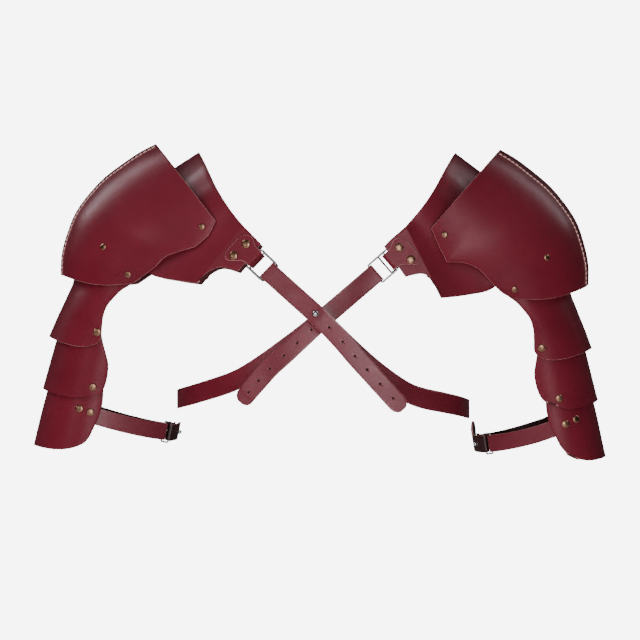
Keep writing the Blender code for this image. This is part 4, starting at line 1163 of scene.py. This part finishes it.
# A rivet's cap and its washer, as shares of the cap's width. The painted highlight is the brightness of the
# brass.
RIM_HEIGHT = 0.085
DOME_RISE = 0.15
DOME_POWER = 0.8
DOME_STEPS = 8
# Painted highlight on the rivet caps: bright towards the rim, dark in the middle.
RIM_HIGHLIGHT = 0.8
HIGHLIGHT_POWER = 2.5
WASHER = 0.34
RIVET_LIP = [
    # share of the cap's radius, height as a share of its width, painted highlight
    (1.0, 0.03, 0.75),
    (0.96, 0.0, 0.3),
]
RIVET_FOOT = [
    # share of the washer's radius, how far it stands out behind, painted highlight
    (1.0, 0.0, 0.2),
    (1.0, 0.5, 0.6),
    (0.8, 0.8, 0.4),
    (0.45, 0.85, 0.2),
    (0.3, 0.6, 0.0),
    (0.0, 0.55, 0.0),
]


def make_brass():
    material, nodes, links, shader = new_finish("antique_brass_metal")
    painted_highlight = nodes.new("ShaderNodeAttribute")
    painted_highlight.attribute_name = "painted_highlight"
    place = nodes.new("ShaderNodeTexCoord")
    stain = add_noise(nodes, links, place, scale=900.0, detail=4.0)
    blend = nodes.new("ShaderNodeMath")
    blend.operation = "MULTIPLY_ADD"
    blend.inputs[1].default_value = STAIN
    links.new(stain.outputs["Fac"], blend.inputs[0])
    links.new(painted_highlight.outputs["Fac"], blend.inputs[2])
    colour = add_ramp(nodes, links, blend.outputs["Value"], low=(0.06, BRASS_DARK), high=(0.75, BRASS_BRIGHT))
    links.new(colour.outputs["Color"], shader.inputs["Base Color"])
    shader.inputs["Metallic"].default_value = 1.0
    shader.inputs["Roughness"].default_value = BRASS_ROUGHNESS
    return material


BRASS = make_brass()


def solid_tree(piece):
    bpy.context.view_layer.update()
    return BVHTree.FromObject(piece, bpy.context.evaluated_depsgraph_get())


def through(tree, start, way, reach):
    """Every face that a line goes through: into a piece, out of it, into the next layer and so on."""
    hits = []
    distance = 0.0
    while distance < reach:
        place, normal, _, step = tree.ray_cast(start + way * distance, way, reach - distance)
        if place is None:
            break
        distance += step + RAY_STEP
        hits.append((place, normal))
    return hits


def highest(tree, centre, axis, radius):
    """How far a piece's curved surface rises inside a circle that a flat head has to sit on."""
    side_way = axis.orthogonal().normalized()
    top = 0.0
    for k in range(SEAT_SPOKES):
        spoke = Matrix.Rotation(math.tau * k / SEAT_SPOKES, 3, axis) @ side_way
        for share in (0.5, 1.0):
            start = centre + spoke * radius * share + axis * SEAT_RAY_START
            hits = through(tree, start, -axis, SEAT_RAY_LENGTH)
            if hits:
                top = max(top, (hits[0][0] - centre).dot(axis))
    return top


def turn_piece(name, profile, place, axis, finish, segments=32):
    """A turned metal piece. A profile point is radius, height and how bright its painted highlight is."""
    shape = bmesh.new()
    highlight_layer = shape.verts.layers.float.new("painted_highlight")
    frame_turn = axis.to_track_quat("Z", "Y").to_matrix()
    rings = []
    for radius, height, painted_highlight in profile:
        count = 1 if radius == 0.0 else segments
        ring = []
        for k in range(count):
            turn = 2.0 * math.pi * k / segments
            local = Vector((radius * math.cos(turn), radius * math.sin(turn), height))
            vert = shape.verts.new(place + frame_turn @ local)
            vert[highlight_layer] = painted_highlight
            ring.append(vert)
        rings.append(ring)
    for first, second in zip(rings, rings[1:]):
        for k in range(segments):
            m = (k + 1) % segments
            if len(first) == 1:
                shape.faces.new((first[0], second[k], second[m]))
            elif len(second) == 1:
                shape.faces.new((first[m], first[k], second[0]))
            else:
                shape.faces.new((first[m], first[k], second[k], second[m]))
    piece = shaded_piece(shape, name, finish)
    piece.data.set_sharp_from_angle(angle=SHARP_METAL)
    return piece


def set_rivet(node, start, way, head, pieces):
    outer, inner = solid_tree(pieces[0]), solid_tree(pieces[-1])
    outside, normal = through(outer, start, way, PIECE_SEARCH)[0]
    if normal.dot(way) > 0:
        normal = -normal
    layers = 2 if pieces[0] == pieces[-1] else 1
    inside = through(inner, outside + normal * MM, -normal, LAYERS_SEARCH)[2 * layers - 1][0]
    radius, shank, washer = head / 2, RIVET_SHANK / 2, head * WASHER
    seat = highest(outer, outside, normal, radius) + SEAT_GAP
    grip = (outside - inside).dot(normal) + highest(inner, inside, -normal, washer) + SEAT_GAP
    profile = [(0.0, seat + head * (RIM_HEIGHT + DOME_RISE), 0.0)]
    for k in range(1, DOME_STEPS + 1):
        turn = QUARTER * k / DOME_STEPS
        height = seat + head * (RIM_HEIGHT + DOME_RISE * math.cos(turn))
        painted_highlight = RIM_HIGHLIGHT * (k / DOME_STEPS) ** HIGHLIGHT_POWER
        profile.append((radius * math.sin(turn) ** DOME_POWER, height, painted_highlight))
    profile += [(radius * share, seat + head * height, painted_highlight) for share, height, painted_highlight in RIVET_LIP]
    profile += [(shank, seat, 0.0), (shank, -grip, 0.0)]
    profile += [(washer * share, -grip - behind * MM, painted_highlight) for share, behind, painted_highlight in RIVET_FOOT]
    stand_in(turn_piece(node + "_brass", profile, outside, normal, BRASS), node)


def rivet_jobs(side, face):
    cap = caps[side][0 if face == "front" else 1]
    upper, middle, lower = lames[side]
    yoke = yokes[side]
    jobs = []
    for k, (x, z) in enumerate(CAP_LAME_RIVETS[side if face == "front" else "right"]):
        jobs.append(("cap_rivet_%d_%s" % (k + 1, face), Vector((x, 0.0, z)) * MM, CAP_RIVET, [cap, upper]))
    x, z = CAP_YOKE_RIVET
    jobs.append(("cap_rivet_3_" + face, Vector((x, 0.0, z)) * MM, CAP_RIVET, [cap, yoke]))
    seen = side if face == "front" else "back"
    s, w = UPPER_MIDDLE_RIVET[seen]
    jobs.append(("lame_rivet_1_" + face, arm_point(s * MM, w * MM, 0.0), LAME_RIVET, [upper, middle]))
    s, w = MIDDLE_LOWER_RIVET[seen]
    jobs.append(("lame_rivet_2_" + face, arm_point(s * MM, w * MM, 0.0), LAME_RIVET, [middle, lower]))
    if face == "back":
        return jobs
    for k, (s, w) in enumerate(LOWER_STRAP_RIVETS[side]):
        pieces = [lower, arm_straps[side][0]]
        jobs.append(("arm_strap_rivet_%d" % (k + 1), arm_point(s * MM, w * MM, 0.0), LAME_RIVET, pieces))
    for k, (x, z) in enumerate(TAB_RIVETS):
        pieces = [tabs[side, face], yoke, tabs[side, face]]
        place = Vector((x, 0.0, z)) * MM + REACH[side]
        jobs.append(("tab_rivet_%d" % (k + 1), place, TAB_RIVET, pieces))
    return jobs


for side, matrix in SIDES.items():
    for face, sign in (("front", -1.0), ("back", 1.0)):
        way = (matrix.to_3x3() @ Vector((0.0, -sign, 0.0))).normalized()
        for name, place, head, pieces in rivet_jobs(side, face):
            start = matrix @ (place + Vector((0.0, sign * RIVET_SEARCH, 0.0)))
            set_rivet(side + "_" + name, start, way, head, pieces)

# Studs: turned, chromed ball studs. A ball on a narrow neck comes through the tail's hole, and a flat
# foot behind holds both layers of the strap together.
TOP_STUD_SCALE = 1.0
UNDER_STUD_SCALE = 0.7
ARM_STUD_SCALE = 0.62
ARM_STUD_ANGLE = {"right": math.radians(4.0), "left": math.radians(14.5)}
STUD_SEARCH = 30.0 * MM
ARM_STUD_SEARCH = 12.0 * MM
STUD_REACH = 40.0 * MM
STUD_BALL = 3.5 * MM
STUD_FOOT = 3.8 * MM
STUD_SEGMENTS = 40
BALL_STEPS = 12
BALL_ANGLE = math.radians(142.0)
BALL_HEIGHT = 0.8
COLLAR_RADIUS = 0.83
COLLAR_HEIGHT = 0.06
STUD_FOOT_PROFILE = [
    # share of the foot's radius, how far it stands out behind
    (1.0, 0.0),
    (1.0, 0.7),
    (0.9, 0.9),
    (0.0, 0.9),
]
STUD_CHROME = make_chrome("bright_stud_chrome", (0.82, 0.81, 0.82, 1.0))


def set_stud(node, strap, start, way, scale):
    tree = solid_tree(strap)
    hits = through(tree, start, way, STUD_REACH)
    outside, normal = hits[0]
    if normal.dot(way) > 0:
        normal = -normal
    inside = hits[3][0]
    ball, shank, foot = STUD_BALL * scale, RIVET_SHANK / 2, STUD_FOOT * scale
    seat = highest(tree, outside, normal, ball) + SEAT_GAP
    grip = (outside - inside).dot(normal) + highest(tree, inside, -normal, foot) + SEAT_GAP
    middle = seat + ball * BALL_HEIGHT
    outline = [(0.0, middle + ball)]
    for k in range(1, BALL_STEPS + 1):
        turn = BALL_ANGLE * k / BALL_STEPS
        outline.append((ball * math.sin(turn), middle + ball * math.cos(turn)))
    collar_radius, collar_height = ball * COLLAR_RADIUS, ball * COLLAR_HEIGHT
    outline += [(collar_radius, seat + collar_height), (collar_radius, seat), (shank, seat), (shank, -grip)]
    outline += [(foot * share, -grip - behind * MM) for share, behind in STUD_FOOT_PROFILE]
    profile = [(radius, height, 0.0) for radius, height in outline]
    stud = turn_piece(node + "_chrome", profile, outside, normal, STUD_CHROME, STUD_SEGMENTS)
    stand_in(stud, node)


for side, stud, scale in (("right", STUD_TOP_STRAP, TOP_STUD_SCALE),
                          ("left", STUD_UNDER_STRAP, UNDER_STUD_SCALE)):
    start = stud - Vector((0.0, STUD_SEARCH, 0.0))
    set_stud(side + "_stud", chest_straps[side], start, Vector((0.0, 1.0, 0.0)), scale)
for side, matrix in SIDES.items():
    angle = ARM_STUD_ANGLE[side]
    out = loop_out(side, angle)
    start = matrix @ (loop_point(side, angle, ARM_LOOP_INWARD[side]) + out * ARM_STUD_SEARCH)
    way = (matrix.to_3x3() @ -out).normalized()
    set_stud(side + "_arm_stud", arm_straps[side][1], start, way, ARM_STUD_SCALE)

bpy.context.view_layer.update()
